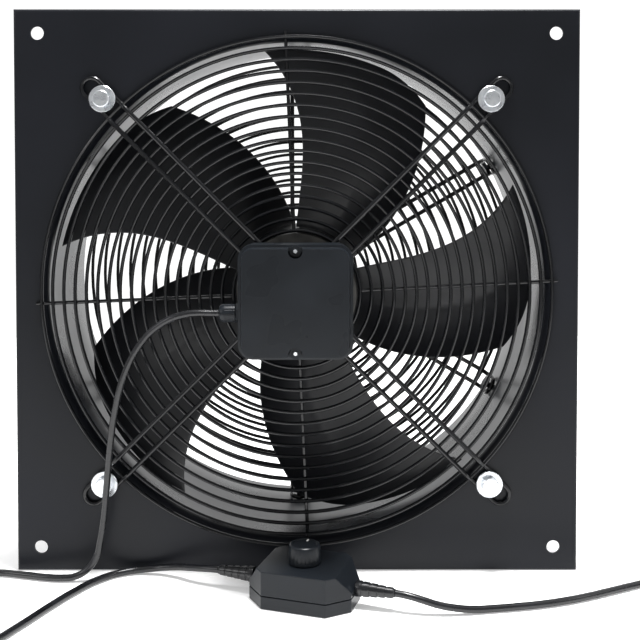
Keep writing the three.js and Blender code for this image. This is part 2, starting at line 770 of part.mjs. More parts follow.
// The controller's outside, shrunk by `inset`: an eight-sided block whose ends slope in at the top.
function controllerForm(inset) {
  const x = CONTROL_LENGTH / 2 - inset;
  const y = CONTROL_DEPTH / 2 - inset;
  const top = CONTROL_HEIGHT - inset;
  const corners = [
    [-x, inset],
    [x, inset],
    [x, END_SLOPE_START],
    [x - END_SLOPE_IN, top],
    [-x + END_SLOPE_IN, top],
    [-x, END_SLOPE_START],
  ];
  const shape = new THREE.Shape(corners.map(([a, b]) => new THREE.Vector2(a, b)));
  const geometry = new THREE.ExtrudeGeometry(shape, { depth: 2 * y, bevelEnabled: false });
  const prism = solid(geometry.rotateX(Math.PI / 2).translate(0, y, 0));
  return prism.intersect(octagon(2 * x, 2 * y, CONTROL_CHAMFER - inset * 0.6, inset, top));
}

const rodZ = (r, z0, z1, sides = 24, x = 0, y = 0) =>
  rodY(r, z0, z1, sides).rotate([90, 0, 0]).translate([x, y, 0]);

function controllerShell(low, high) {
  const big = CONTROL_LENGTH;
  const slab = box(-big, big, -big, big, low, high);
  return cut(controllerForm(0).intersect(slab), [controllerForm(CONTROL_WALL)]);
}

// A ribbed, tapered boot moulded on the lead, from the controller's end wall outwards along +X.
function strainRelief(length) {
  const profile = [[0, 0]];
  const ribs = RELIEF_RIBS;
  for (let i = 0; i < ribs; i++) {
    const r = 6.2 - (2.4 * i) / ribs;
    const y = (length * i) / ribs;
    const rib = (length / ribs) * 0.62;
    profile.push([r, y], [r - 0.5, y + rib], [r - 1.2, y + rib], [r - 1.3, y + length / ribs - 0.4]);
  }
  profile.push([3.3, length], [0, length]);
  return turned(profile, 10).rotate([0, 0, -90]);
}

function knob() {
  const bottom = CONTROL_HEIGHT + 0.5;
  const top = CONTROL_HEIGHT + KNOB_HEIGHT;
  const body = turned(
    [
      [0, bottom],
      [KNOB_R, bottom],
      [KNOB_R - 0.7, top - 1.5],
      [KNOB_R - 2.2, top],
      [0, top],
    ],
    28,
  ).rotate([90, 0, 0]);
  const bore = rodZ(SPINDLE_R + GAP, bottom - 1, top - 3, 12);
  const mark = box(-0.7, 0.7, 4, KNOB_R + 1, top - 0.8, top + 1);
  return cut(body, [bore, mark]);
}

// ---- leads

const point = ([x, y, z]) => new THREE.Vector3(x, y, z);

// From the gland across the grille, down over the lower left bolt, out on the surface in a loop
// past the plate's left edge and back to the controller.
const motorRoute = [
  [GLAND_END_X - GAP, GLAND_Y, GLAND_Z],
  [-90.3, -43.8, -14.2],
  [-111.4, -41.7, -23.6],
  [-128.2, -39.4, -41.4],
  [-140.7, -37.8, -66.2],
  [-148.2, -35.8, -94.6],
  [-152.9, -33.7, -126],
  [-156, -32.8, -158.2],
  [-159.2, -33.1, -189],
  [-161.6, -33.6, -203.2],
  [-164.5, -34.4, -215.4],
  [-171.3, -35.5, -225],
  [-181.4, -36.5, -230.7],
  [-193, -36.6, -231.9],
  [-206, -34.9, LEAD_Z],
  [-221.7, -30.9, LEAD_Z],
  [-249.7, -25.1, LEAD_Z],
  [-273.7, -27.4, LEAD_Z],
  [-293.4, -38.6, LEAD_Z],
  [-306.9, -57.7, LEAD_Z],
  [-313.4, -82.8, LEAD_Z],
  [-312.7, -109.6, LEAD_Z],
  [-305.1, -135.6, LEAD_Z],
  [-291.5, -156.9, LEAD_Z],
  [-273.1, -170.3, LEAD_Z],
  [-252.2, -173.4, LEAD_Z],
  [-232.3, -166, LEAD_Z],
  [-215.9, -148.4, LEAD_Z],
  [-202.8, -122.3, LEAD_Z],
  [-189.9, -92, LEAD_Z],
  [-176.4, -63.3, LEAD_Z],
  [-161.3, -39, LEAD_Z],
  [-144.4, -24.9, LEAD_Z],
  [-123.5, -21.6, -230.5],
  [-102.5, -26.8, -226.9],
  [-84, -37.6, -223.2],
];

// From the controller along the surface to the storage coil.
const supplyRoute = [
  [97, -97, -223.9],
  [108, -98, -227],
  [121, -97.8, -229.6],
  [136, -96, -231.6],
  [152, -93.3, LEAD_Z],
  [170, -90.2, LEAD_Z],
  [191, -85.6, LEAD_Z],
  [213, -78.6, LEAD_Z],
  [234, -69.6, LEAD_Z],
  [254, -59.8, LEAD_Z],
  [274, -50, LEAD_Z],
  [291, -42.2, LEAD_Z],
  [306, -37.6, LEAD_Z],
];

// Points of a lead where it leaves a strain relief of the controller, on the given side.
function reliefPoints(side, distances) {
  const a = rad(CONTROL_TURN);
  const end = CONTROL_LENGTH / 2 + GAP + RELIEF_LENGTH + GAP;
  const z = FLOOR + RELIEF_Z;
  return distances.map((d) => [
    CONTROL_X + side * (end + d) * Math.cos(a),
    CONTROL_Y + side * (end + d) * Math.sin(a),
    z - 0.06 * d,
  ]);
}

function lead(route, steps) {
  const curve = new THREE.CatmullRomCurve3(route.map(point), false, "centripetal");
  return swept(curve, LEAD_D / 2, 8, steps);
}

// The outer shape of the neat storage coil.
function leadCoil() {
  const wide = (COIL_TURNS_WIDE * LEAD_D) / 2;
  const high = COIL_LAYERS * LEAD_D;
  const soft = 1.5;
  return turned(
    [
      [COIL_R - wide, soft],
      [COIL_R - wide + soft, 0],
      [COIL_R + wide - soft, 0],
      [COIL_R + wide, soft],
      [COIL_R + wide, high - soft],
      [COIL_R + wide - soft, high],
      [COIL_R - wide + soft, high],
      [COIL_R - wide, high - soft],
    ],
    32,
  )
    .rotate([90, 0, 0])
    .translate([COIL_X, COIL_Y, FLOOR + 0.05]);
}

// ---- plug, lying flat with its pins towards -Y; z = 0 is its axis

const plugEnd = -PLUG_RELIEF_LENGTH - PLUG_LENGTH;

function plugBody() {
  const shape = roundedBlock(25, 6, plugEnd, -PLUG_RELIEF_LENGTH - GAP, 3);
  const slim = shape.intersect(box(-13, 13, plugEnd - 1, 1, -11, 11));
  const slot = (x) => box(x - 1.05, x + 1.05, plugEnd - 1, plugEnd + 8, 1.5, 8.5);
  const grips = [-1, 1].flatMap((side) =>
    [-32, -36, -40].map((y) => box(side * 12.5 - 0.8, side * 12.5 + 0.8, y - 0.8, y + 0.8, -7, 7)),
  );
  return cut(slim, [
    ...grips,
    slot(-BLADE_PIN_X),
    slot(BLADE_PIN_X),
    rodY(2.7, plugEnd - 1, plugEnd + 8, 12, 0, GROUND_PIN_Z),
  ]);
}

function plugStrainRelief() {
  const end = -PLUG_RELIEF_LENGTH;
  return turned([[0, end], [7, end], [6, end + 8], [4.2, 0], [0, 0]], 12);
}

const pinEnd = plugEnd - PIN_LENGTH;
const pinRoot = plugEnd + 7;
const plugBlade = (x) => box(x - 0.75, x + 0.75, pinEnd, pinRoot, 1.85, 8.15);
const plugGroundPin = () => rodY(2.4, pinEnd - 2, pinRoot, 12, 0, GROUND_PIN_Z);

// ---------------------------------------------------------------- placing the pieces

piece("wall_plate", wallPlate(), powderCoat);
piece("duct_tube", ductTube(), powderCoat);
piece("front_grille", frontGrille(), wireCoat);
piece("rear_guard", rearGuard(), wireCoat);

armAngles().forEach((a, i) => {
  const at = [0, 0, BOLT_R];
  piece(`grille_bolt_${i + 1}`, turnAboutY(grilleBolt().translate(at), a), zinc);
  piece(`grille_washer_${i + 1}`, turnAboutY(grilleWasher().translate(at), a), zinc);
  piece(`motor_flange_screw_${i + 1}`, turnAboutY(flangeScrew(), a), blackScrew);
});
guardAngles().forEach((a, i) => {
  piece(`rear_guard_screw_${i + 1}`, turnAboutY(guardScrew(), a), blackScrew);
});

piece("motor_flange", motorFlange(), castAluminium);
piece("front_bearing", bearing(FLANGE_Y + FLANGE_THICK - GAP), bearingSteel);
piece("rear_bearing", bearing(HUB_END - BEARING_WIDTH - GAP), bearingSteel);
piece("stator_core", statorCore(), coreSteel);
piece("stator_winding", statorWinding(), copper);

piece("rotor_shell", rotorShell(), bladePaint);
piece("rotor_cage", rotorCage(), castAluminium);
piece("motor_shaft", motorShaft(), bearingSteel);
for (let i = 0; i < BLADES; i++) {
  piece(`blade_${i + 1}`, turnAboutY(blade(), (-360 / BLADES) * i), bladePaint);
}

piece("terminal_box_base", terminalBoxBase(), boxPlastic);
piece("terminal_box_gasket", terminalBoxGasket(), sealRubber);
piece("terminal_box_lid", terminalBoxLid(), boxPlastic);
piece("lid_screw_1", lidScrew(1), zinc);
piece("lid_screw_2", lidScrew(-1), zinc);
piece("terminal_block", terminalBlock(), terminalPlastic);
piece("run_capacitor", runCapacitor(), capacitorPlastic);
piece("cable_gland_body", glandBody(), boxPlastic);
piece("cable_gland_nut", glandNut(), boxPlastic);

const controller = new THREE.Group();
controller.position.set(CONTROL_X, CONTROL_Y, FLOOR);
controller.rotation.z = rad(CONTROL_TURN);
fan.add(controller);
const spindleHole = rodZ(3.8, CONTROL_HEIGHT - 4, CONTROL_HEIGHT + 1, 12);
piece("controller_base", controllerShell(0, CONTROL_SPLIT), boxPlastic, controller);
const cover = cut(controllerShell(CONTROL_SPLIT + GAP, CONTROL_HEIGHT), [spindleHole]);
piece("controller_cover", cover, boxPlastic, controller);
piece("controller_circuit_board", box(-24, 24, -17, 17, BOARD_TOP - 1.6, BOARD_TOP), boardGreen, controller);
const potentiometerFoot = BOARD_TOP + 5;
const potentiometer = cut(rodZ(POTENTIOMETER_R, potentiometerFoot, CONTROL_HEIGHT - CONTROL_WALL - 0.5), [
  rodZ(SPINDLE_R + GAP, potentiometerFoot + 2, CONTROL_HEIGHT, 12),
]);
piece("potentiometer", potentiometer, brass, controller);
const spindle = rodZ(SPINDLE_R, potentiometerFoot + 2.5, CONTROL_HEIGHT + KNOB_HEIGHT - 3.5, 12);
piece("potentiometer_shaft", spindle, bearingSteel, controller);
piece("controller_knob", knob(), boxPlastic, controller);
const boot = strainRelief(RELIEF_LENGTH).translate([CONTROL_LENGTH / 2 + GAP, 0, RELIEF_Z]);
piece("supply_strain_relief", boot, leadPvc, controller);
piece("motor_lead_strain_relief", boot.rotate([0, 0, 180]), leadPvc, controller);

piece("motor_lead", lead([...motorRoute, ...reliefPoints(-1, [9, 0])], 62), leadPvc);
piece("supply_lead", lead([...reliefPoints(1, [0, 9]), ...supplyRoute], 18), leadPvc);
piece("supply_lead_coil", leadCoil(), leadPvc);

const plug = new THREE.Group();
plug.position.set(COIL_X + COIL_R + ((COIL_TURNS_WIDE - 1) / 2) * LEAD_D, COIL_Y - 26, PLUG_AXIS_Z);
fan.add(plug);
piece("plug_strain_relief", plugStrainRelief(), leadPvc, plug);
piece("plug_body", plugBody(), leadPvc, plug);
piece("plug_blade_1", plugBlade(-BLADE_PIN_X), brass, plug);
piece("plug_blade_2", plugBlade(BLADE_PIN_X), brass, plug);
piece("plug_ground_pin", plugGroundPin(), brass, plug);

export default fan;
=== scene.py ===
from math import cos, pi, radians, sin

import bmesh
import bpy
from mathutils import Matrix, Vector


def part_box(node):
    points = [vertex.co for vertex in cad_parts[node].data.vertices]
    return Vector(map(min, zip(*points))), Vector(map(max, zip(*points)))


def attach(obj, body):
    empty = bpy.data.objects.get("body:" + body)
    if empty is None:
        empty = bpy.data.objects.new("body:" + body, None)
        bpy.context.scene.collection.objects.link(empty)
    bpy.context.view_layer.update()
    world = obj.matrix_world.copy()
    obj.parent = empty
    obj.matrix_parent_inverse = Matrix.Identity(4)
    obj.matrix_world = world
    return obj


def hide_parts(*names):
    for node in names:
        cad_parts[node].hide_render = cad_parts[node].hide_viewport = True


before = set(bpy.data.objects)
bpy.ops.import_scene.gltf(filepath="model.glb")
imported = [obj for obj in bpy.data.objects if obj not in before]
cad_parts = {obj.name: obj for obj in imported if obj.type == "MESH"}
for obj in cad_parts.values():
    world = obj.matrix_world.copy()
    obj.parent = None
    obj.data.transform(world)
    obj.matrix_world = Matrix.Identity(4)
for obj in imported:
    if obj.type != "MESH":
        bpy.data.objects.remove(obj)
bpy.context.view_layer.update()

# ---- Camera and studio
# The fan is seen from the grille side, a little above its axis, standing on a white paper sweep.
# The light is a white room, dimmer in front of the fan than behind it, with a strip above the fan
# and a soft panel at each side. The camera itself sees the room's walls plain white.

MM = 0.001


def linear(hex_colour):
    """An sRGB hex colour as the linear colour that a socket takes."""
    parts = [int(hex_colour[i : i + 2], 16) / 255 for i in (0, 2, 4)]
    return [p / 12.92 if p <= 0.04045 else ((p + 0.055) / 1.055) ** 2.4 for p in parts] + [1]


def add(tree, kind, inputs=None, **settings):
    """Adds a node, sets it, and fills its inputs with values or with other nodes' outputs."""
    made = tree.nodes.new(kind)
    for name, value in settings.items():
        setattr(made, name, value)
    for name, value in (inputs or {}).items():
        if isinstance(value, bpy.types.NodeSocket):
            tree.links.new(value, made.inputs[name])
        else:
            made.inputs[name].default_value = value
    return made


def finish(name, look):
    """A new material, whose surface the function `look` makes in its node tree."""
    made = bpy.data.materials.new(name)
    made.use_nodes = True
    tree = made.node_tree
    tree.nodes.clear()
    add(tree, "ShaderNodeOutputMaterial", {"Surface": look(tree).outputs[0]})
    return made


view = bpy.data.cameras.new("camera")
view.lens = 58.8
view.sensor_width = 36
view.shift_y = -0.22
view.clip_start = 0.02
camera = bpy.data.objects.new("camera", view)
camera.location = (0.0183, -0.8826, 0.1203)
camera.rotation_euler = Vector((0.001, 1, -0.0302)).to_track_quat("-Z", "Y").to_euler()
bpy.context.collection.objects.link(camera)
bpy.context.scene.camera = camera
bpy.context.scene.view_settings.view_transform = "Standard"

room = bpy.data.worlds.new("white room")
room.use_nodes = True
bpy.context.scene.world = room
sky = room.node_tree
sky.nodes.clear()
direction = add(sky, "ShaderNodeTexCoord").outputs["Generated"]
depth = add(sky, "ShaderNodeSeparateXYZ", {0: direction}).outputs["Y"]
bright = add(sky, "ShaderNodeMapRange", {0: depth, 1: -0.35, 2: 0.35, 3: 0.4, 4: 1.15}).outputs[0]
seen = add(sky, "ShaderNodeLightPath").outputs["Is Camera Ray"]
level = add(sky, "ShaderNodeMath", {0: bright, 1: seen}, operation="MAXIMUM")
light = add(sky, "ShaderNodeBackground", {"Color": (1, 1, 1, 1), "Strength": level.outputs[0]})
add(sky, "ShaderNodeOutputWorld", {"Surface": light.outputs[0]})

for name, place, size, power in (
    ("strip above", (0.1, -0.12, 1.35), 0.3, 40),
    ("panel at the left", (-1.5, -1.1, 0.9), 0.5, 5),
    ("panel at the right", (1.4, -0.6, 0.7), 0.3, 2),
):
    lamp = bpy.data.lights.new(name, "AREA")
    lamp.size = size
    lamp.energy = power
    panel = bpy.data.objects.new(name, lamp)
    panel.location = place
    panel.rotation_euler = (-Vector(place)).to_track_quat("-Z", "Y").to_euler()
    bpy.context.collection.objects.link(panel)

white_paper = finish(
    "white paper",
    lambda tree: add(
        tree,
        "ShaderNodeBsdfPrincipled",
        {
            "Base Color": linear("FCFCFC"),
            "Roughness": 0.9,
            "Specular IOR Level": 0.1,
            "Emission Color": (1, 1, 1, 1),
            "Emission Strength": 0.3,
        },
    ),
)
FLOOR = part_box("wall_plate")[0][2] / MM
PAPER_DROP, PAPER_R = 0.3, 1.2
bm = bmesh.new()
bmesh.ops.create_circle(bm, cap_ends=True, radius=PAPER_R, segments=96)
bmesh.ops.translate(bm, verts=bm.verts, vec=(0, 0, (FLOOR - PAPER_DROP) * MM))
mesh = bpy.data.meshes.new("paper_sweep")
bm.to_mesh(mesh)
bm.free()
mesh.materials.append(white_paper)
sweep = bpy.data.objects.new("paper_sweep", mesh)
bpy.context.collection.objects.link(sweep)

# ---- Wall plate
# One square of sheet steel with its edges folded back and a round mouth pressed into it. Four
# nuts are welded behind the grille's holes. It is powder coated black, semi-gloss.

PLATE, FOLD, SHEET = 470, 14, 2
FRONT = -FOLD
FOLD_R = 2.5
MOUTH_R, DUCT_R, MOUTH_DEPTH = 216, 208.4, 8
BOLT_R = 227
BOLT_AT = BOLT_R / 2**0.5
CORNER_AT = 215
CORNER_HOLE_R, BOLT_HOLE_R = 5.5, 4.4
NUT_R, NUT_DEPTH, NUT_BORE = 8, 5.95, 4.2
SIDES = 96


def grained(name, dark, pale, gloss, drift, grain, relief, **shader):
    """A finish whose tone and roughness wander between two values over `drift` millimetres, and
    whose surface has a grain `grain` millimetres across and `relief` millimetres deep."""

    def look(tree):
        at = add(tree, "ShaderNodeTexCoord").outputs["Object"]
        clouds = add(tree, "ShaderNodeTexNoise", {"Vector": at, "Scale": 1 / (drift * MM)})
        fine = add(tree, "ShaderNodeTexNoise", {"Vector": at, "Scale": 1 / (grain * MM)})
        bump = add(tree, "ShaderNodeBump", {"Distance": relief * MM, "Height": fine.outputs[0]})
        rough = add(
            tree, "ShaderNodeMapRange", {0: clouds.outputs[0], 1: 0.3, 2: 0.7, 3: gloss[0], 4: gloss[1]}
        )
        tone = add(tree, "ShaderNodeValToRGB", {0: clouds.outputs[0]})
        for stop, place, colour in zip(tone.color_ramp.elements, (0.3, 0.7), (dark, pale)):
            stop.position = place
            stop.color = linear(colour)
        sockets = {"Base Color": tone.outputs[0], "Roughness": rough.outputs[0]}
        return add(
            tree, "ShaderNodeBsdfPrincipled", {**sockets, "Normal": bump.outputs[0], **shader}
        )

    return finish(name, look)


def settle(name, bm, look, body, slot, *nodes, crease=32):
    """Turns a bmesh in millimetres into a finished piece that rides on a body."""
    bmesh.ops.scale(bm, verts=bm.verts, vec=(MM, MM, MM))
    bmesh.ops.remove_doubles(bm, verts=bm.verts, dist=1e-7)
    bmesh.ops.recalc_face_normals(bm, faces=bm.faces)
    mesh = bpy.data.meshes.new(name)
    bm.to_mesh(mesh)
    bm.free()
    mesh.shade_smooth()
    mesh.set_sharp_from_angle(angle=radians(crease))
    mesh.materials.append(look)
    made = bpy.data.objects.new(name, mesh)
    bpy.context.collection.objects.link(made)
    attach(made, body)
    if nodes:
        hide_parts(*nodes)
    return made


def rod(bm, radius, y0, y1, sides=48, x=0, z=0, tip=None):
    """A cylinder, cone or prism along Y. Returns its vertices."""
    made = bmesh.ops.create_cone(
        bm,
        cap_ends=True,
        segments=sides,
        radius1=radius,
        radius2=radius if tip is None else tip,
        depth=y1 - y0,
        matrix=Matrix.Translation((x, (y0 + y1) / 2, z)) @ Matrix.Rotation(-pi / 2, 4, "X"),
    )
    return made["verts"]


def shape(piece, kind, crease=32, **settings):
    """Puts one modifier on a piece and applies it. Without a crease its own normals are kept."""
    made = piece.modifiers.new(kind.lower(), kind)
    for name, value in settings.items():
        setattr(made, name, value)
    shaped = piece.evaluated_get(bpy.context.evaluated_depsgraph_get())
    fresh = bpy.data.meshes.new_from_object(shaped)
    if crease is not None:
        fresh.shade_smooth()
        fresh.set_sharp_from_angle(angle=radians(crease))
    piece.modifiers.clear()
    piece.data = fresh


def soften(piece, width):
    """Rounds a piece's sharp edges, and leaves its flat faces flat."""
    rounding = {"width": width * MM, "segments": 3, "limit_method": "ANGLE"}
    shape(piece, "BEVEL", None, harden_normals=True, **rounding)


def carve(piece, cutter, soft=0):
    """Cuts the solid bmesh `cutter`, in millimetres, out of a piece, and rounds its edges."""
    bmesh.ops.scale(cutter, verts=cutter.verts, vec=(MM, MM, MM))
    bmesh.ops.recalc_face_normals(cutter, faces=cutter.faces)
    mesh = bpy.data.meshes.new("cutter")
    cutter.to_mesh(mesh)
    cutter.free()
    tool = bpy.data.objects.new("cutter", mesh)
    bpy.context.collection.objects.link(tool)
    shape(piece, "BOOLEAN", object=tool, solver="EXACT")
    bpy.data.objects.remove(tool)
    if soft:
        soften(piece, soft)


def loop_out(bm, edges, shift, grow=1.0):
    """Extrudes a loop of edges, moves it along Y and scales it about the fan's axis."""
    made = bmesh.ops.extrude_edge_only(bm, edges=edges)["geom"]
    verts = [g for g in made if isinstance(g, bmesh.types.BMVert)]
    bmesh.ops.scale(bm, verts=verts, vec=(grow, 1, grow))
    bmesh.ops.translate(bm, verts=verts, vec=(0, shift, 0))
    return [e for e in {e for v in verts for e in v.link_edges} if all(v in verts for v in e.verts)]


# Baked powder levels into a faint orange peel a millimetre or two across, with slow drifts of
# gloss: it gives the eye soft, broad highlights that waver a little.
DULL = {"Specular IOR Level": 0.2}
black_powder_coat = grained(
    "black powder coat", "121418", "17191F", (0.34, 0.44), 130, 1.6, 0.04, **DULL
)

bm = bmesh.new()
facing = Matrix.Translation((0, FRONT, 0)) @ Matrix.Rotation(pi / 2, 4, "X")
half = PLATE / 2 - FOLD_R
square = facing @ Matrix.Rotation(pi / 4, 4, "Z")
bmesh.ops.create_circle(bm, radius=half * 2**0.5, segments=4, matrix=square)
bmesh.ops.subdivide_edges(bm, edges=bm.edges, cuts=SIDES // 4 - 1)
rim = list(bm.edges)
bmesh.ops.create_circle(bm, radius=MOUTH_R, segments=SIDES, matrix=facing)
lip = [e for e in bm.edges if e not in rim]
bmesh.ops.bridge_loops(bm, edges=rim + lip)
STEPS = 8
turns = [step / STEPS * pi / 2 for step in range(STEPS + 1)]
for last, now in zip(turns, turns[1:]):
    r0, r1 = (MOUTH_R - (MOUTH_R - DUCT_R) * sin(t) for t in (last, now))
    lip = loop_out(bm, lip, MOUTH_DEPTH * (cos(last) - cos(now)), r1 / r0)
    h0, h1 = (half + FOLD_R * sin(t) for t in (last, now))
    rim = loop_out(bm, rim, FOLD_R * (cos(last) - cos(now)), h1 / h0)
loop_out(bm, rim, FOLD - FOLD_R)
bmesh.ops.recalc_face_normals(bm, faces=bm.faces)
if sum(f.normal.y for f in bm.faces) > 0:
    bmesh.ops.reverse_faces(bm, faces=bm.faces)
bmesh.ops.solidify(bm, geom=bm.faces, thickness=SHEET)
wall_plate = settle("pressed_plate", bm, black_powder_coat, "frame", "powder_coat", "wall_plate")
bm = bmesh.new()
for x in (-1, 1):
    for z in (-1, 1):
        rod(bm, CORNER_HOLE_R, FRONT - 3, FRONT + 5, 40, x * CORNER_AT, z * CORNER_AT)
        rod(bm, BOLT_HOLE_R, FRONT - 3, FRONT + 5, 32, x * BOLT_AT, z * BOLT_AT)
carve(wall_plate, bm)

nut_front = FRONT + SHEET + 0.05
bm = bmesh.new()
for x in (-1, 1):
    for z in (-1, 1):
        rod(bm, NUT_R, nut_front, nut_front + NUT_DEPTH, 6, x * BOLT_AT, z * BOLT_AT)
weld_nuts = settle("weld_nuts", bm, black_powder_coat, "frame", "powder_coat")
bm = bmesh.new()
for x in (-1, 1):
    for z in (-1, 1):
        rod(bm, NUT_BORE, FRONT, FRONT + SHEET + 9, 24, x * BOLT_AT, z * BOLT_AT)
carve(weld_nuts, bm, 0.5)

# ---- Duct
# A strip of the same sheet rolled into a short tube, its ends lapped and spot welded at one side,
# and fixed behind the mouth. Its coat flowed out thicker and shinier than the plate's; its base colour
# is a lighter grey, a painted sheen.

DUCT_START = FRONT + MOUTH_DEPTH + 0.3
DUCT_END = 124.7
GUARD_SCREWS = 6
GUARD_SCREW_Y = 94
SCREW_HOLE_R = 3


def spun(bm, profile, sides=SIDES):
    """A closed profile of [radius, y] pairs turned about the Y axis."""
    first = [bm.verts.new((r, y, 0)) for r, y in profile]
    edges = [bm.edges.new(pair) for pair in zip(first, first[1:] + first[:1])]
    known = set(bm.verts) - set(first)
    bmesh.ops.spin(bm, geom=first + edges, axis=(0, 1, 0), angle=2 * pi, steps=sides, use_merge=True)
    made = [v for v in bm.verts if v not in known]
    bmesh.ops.remove_doubles(bm, verts=made, dist=1e-4)
    return [v for v in bm.verts if v not in known]


# The thicker coat is nearly smooth and mirrors the bright room; its base colour is also painted a
# lighter grey, a painted sheen for the soft grey band.
duct_coat_with_painted_sheen = grained(
    "black coat lightened for painted sheen", "2E3034", "36393E", (0.24, 0.32), 90, 6, 0.006, IOR=1.8
)
bm = bmesh.new()
wall = DUCT_R + SHEET
edge = 0.6
spun(
    bm,
    [
        (DUCT_R, DUCT_START),
        (wall, DUCT_START),
        (wall, DUCT_END - edge),
        (wall - edge, DUCT_END),
        (DUCT_R + edge, DUCT_END),
        (DUCT_R, DUCT_END - edge),
    ],
    128,
)
duct = settle("rolled_duct", bm, duct_coat_with_painted_sheen, "frame", "powder_coat", "duct_tube")
bm = bmesh.new()
for i in range(GUARD_SCREWS):
    hole = rod(bm, SCREW_HOLE_R, DUCT_R - 6, DUCT_R + 6, 24)
    bmesh.ops.rotate(bm, verts=hole, matrix=Matrix.Rotation(pi / 2, 3, "X"))
    bmesh.ops.translate(bm, verts=hole, vec=(0, GUARD_SCREW_Y, 0))
    turn = Matrix.Rotation(i * 2 * pi / GUARD_SCREWS, 3, "Y")
    bmesh.ops.rotate(bm, verts=hole, matrix=turn)
carve(duct, bm)

LAP, LAP_TURN = 14, 62
SPOT_WELDS, SPOT_PITCH, SPOT_R = 6, 20, 2.4
bm = bmesh.new()
bmesh.ops.create_grid(bm, x_segments=1, y_segments=1, size=1)
bmesh.ops.scale(bm, verts=bm.verts, vec=(0.6, (DUCT_END - DUCT_START) / 2 - 1, 1))
bmesh.ops.translate(bm, verts=bm.verts, vec=(wall + 0.6, (DUCT_END + DUCT_START) / 2, 0))
arc = LAP / wall
bmesh.ops.spin(bm, geom=list(bm.faces), axis=(0, 1, 0), angle=arc, steps=6)
for i in range(SPOT_WELDS):
    weld = bmesh.ops.create_uvsphere(bm, u_segments=16, v_segments=8, radius=SPOT_R)["verts"]
    bmesh.ops.scale(bm, verts=weld, vec=(0.3, 1, 1))
    bmesh.ops.translate(bm, verts=weld, vec=(wall + 1.1, 10 + i * SPOT_PITCH, 0))
    bmesh.ops.rotate(bm, verts=weld, matrix=Matrix.Rotation(arc / 2, 3, "Y"))
bmesh.ops.rotate(bm, verts=bm.verts, matrix=Matrix.Rotation(radians(LAP_TURN), 3, "Y"))
settle("duct_lap_seam", bm, black_powder_coat, "frame", "powder_coat")

# ---- Rear guard
# Rings of steel wire on six looped arms, spot welded. The arms' ends turn forward along the duct
# wall and are screwed through it. It is dipped in black epoxy.

RING_WIRE, ARM_WIRE = 3, 4
WELD = 1
ARM_LIFT = (RING_WIRE + ARM_WIRE) / 2 - WELD
GUARD_Y = 114
GUARD_OUTER_R, GUARD_RING_PITCH, GUARD_RINGS = 198, 12, 15
GUARD_HALF_PITCH = 7
WALL_WIRE_R = DUCT_R - 1 - ARM_WIRE / 2
BEND = 11


def hoop(bm, radius, wire, y, sides=SIDES):
    """A wire ring about the Y axis."""
    made = bmesh.ops.create_circle(
        bm, radius=wire / 2, segments=10, matrix=Matrix.Translation((radius, y, 0))
    )["verts"]
    edges = list({e for v in made for e in v.link_edges})
    bmesh.ops.spin(bm, geom=made + edges, axis=(0, 1, 0), angle=2 * pi, steps=sides, use_merge=True)


def bend_wire(bm, points, wire, closed=False, sides=10):
    """A round wire bent along points. Returns its vertices."""
    points = [Vector(p) for p in points]
    count = len(points)
    known = set(bm.verts)
    ahead = []
    for i in range(count):
        after = points[(i + 1) % count] if closed or i < count - 1 else points[i]
        before = points[i - 1] if closed or i > 0 else points[i]
        ahead.append((after - before).normalized())
    start = Matrix.Translation(points[0]) @ ahead[0].to_track_quat("Z", "Y").to_matrix().to_4x4()
    made = bmesh.ops.create_circle(bm, radius=wire / 2, segments=sides, matrix=start)["verts"]
    first = edges = list({e for v in made for e in v.link_edges})
    for i in range(1, count):
        made = bmesh.ops.extrude_edge_only(bm, edges=edges)["geom"]
        verts = [g for g in made if isinstance(g, bmesh.types.BMVert)]
        edges = [g for g in made if isinstance(g, bmesh.types.BMEdge)]
        edges = [e for e in edges if all(v in verts for v in e.verts)]
        bmesh.ops.translate(bm, verts=verts, vec=points[i] - points[i - 1])
        turn = ahead[i - 1].rotation_difference(ahead[i]).to_matrix()
        bmesh.ops.rotate(bm, verts=verts, cent=points[i], matrix=turn)
    if closed:
        bmesh.ops.bridge_loops(bm, edges=first + edges)
    else:
        bmesh.ops.contextual_create(bm, geom=first)
        bmesh.ops.contextual_create(bm, geom=edges)
    return [v for v in bm.verts if v not in known]


def double_arm(bm, path, half_pitch, bulge, degrees):
    """A closed wire: out along [radius, y] pairs on one side of an arm, back along the other."""
    arc = [pi * step / 8 for step in range(1, 8)]
    (last_r, last_y), (first_r, first_y) = path[-1], path[0]
    points = [(half_pitch, y, r) for r, y in path]
    for t in arc:
        r, y = last_r + bulge[0] * sin(t), last_y + bulge[1] * sin(t)
        points.append((half_pitch * cos(t), y, r))
    points += [(-half_pitch, y, r) for r, y in reversed(path)]
    points += [(-half_pitch * cos(t), first_y, first_r - half_pitch * sin(t)) for t in arc]
    made = bend_wire(bm, points, ARM_WIRE, closed=True)
    bmesh.ops.rotate(bm, verts=made, matrix=Matrix.Rotation(radians(degrees), 3, "Y"))


# The dip leaves an even, rubbery-smooth skin on the wire with a slight sag to it: each wire has
# one long bright line where it faces the light.
black_dip = grained(
    "black epoxy dip", "08090B", "0D0E11", (0.16, 0.22), 40, 2.4, 0.015, **{"Specular IOR Level": 0.4}
)
bm = bmesh.new()
for i in range(GUARD_RINGS):
    r = GUARD_OUTER_R - GUARD_RING_PITCH * i
    hoop(bm, r, RING_WIRE, GUARD_Y, SIDES if r > 60 else SIDES // 2)
arm_y = GUARD_Y - ARM_LIFT
bend = [
    (WALL_WIRE_R - BEND * (1 - sin(t)), arm_y - BEND * (1 - cos(t)))
    for t in (pi / 2 * step / 6 for step in range(7))
]
path = [(30, arm_y), (90, arm_y), (150, arm_y), *bend, (WALL_WIRE_R, GUARD_SCREW_Y - 3)]
for i in range(GUARD_SCREWS):
    double_arm(bm, path, GUARD_HALF_PITCH, (0, -GUARD_HALF_PITCH), i * 360 / GUARD_SCREWS)
settle("welded_rear_guard", bm, black_dip, "frame", "wire_coat", "rear_guard")

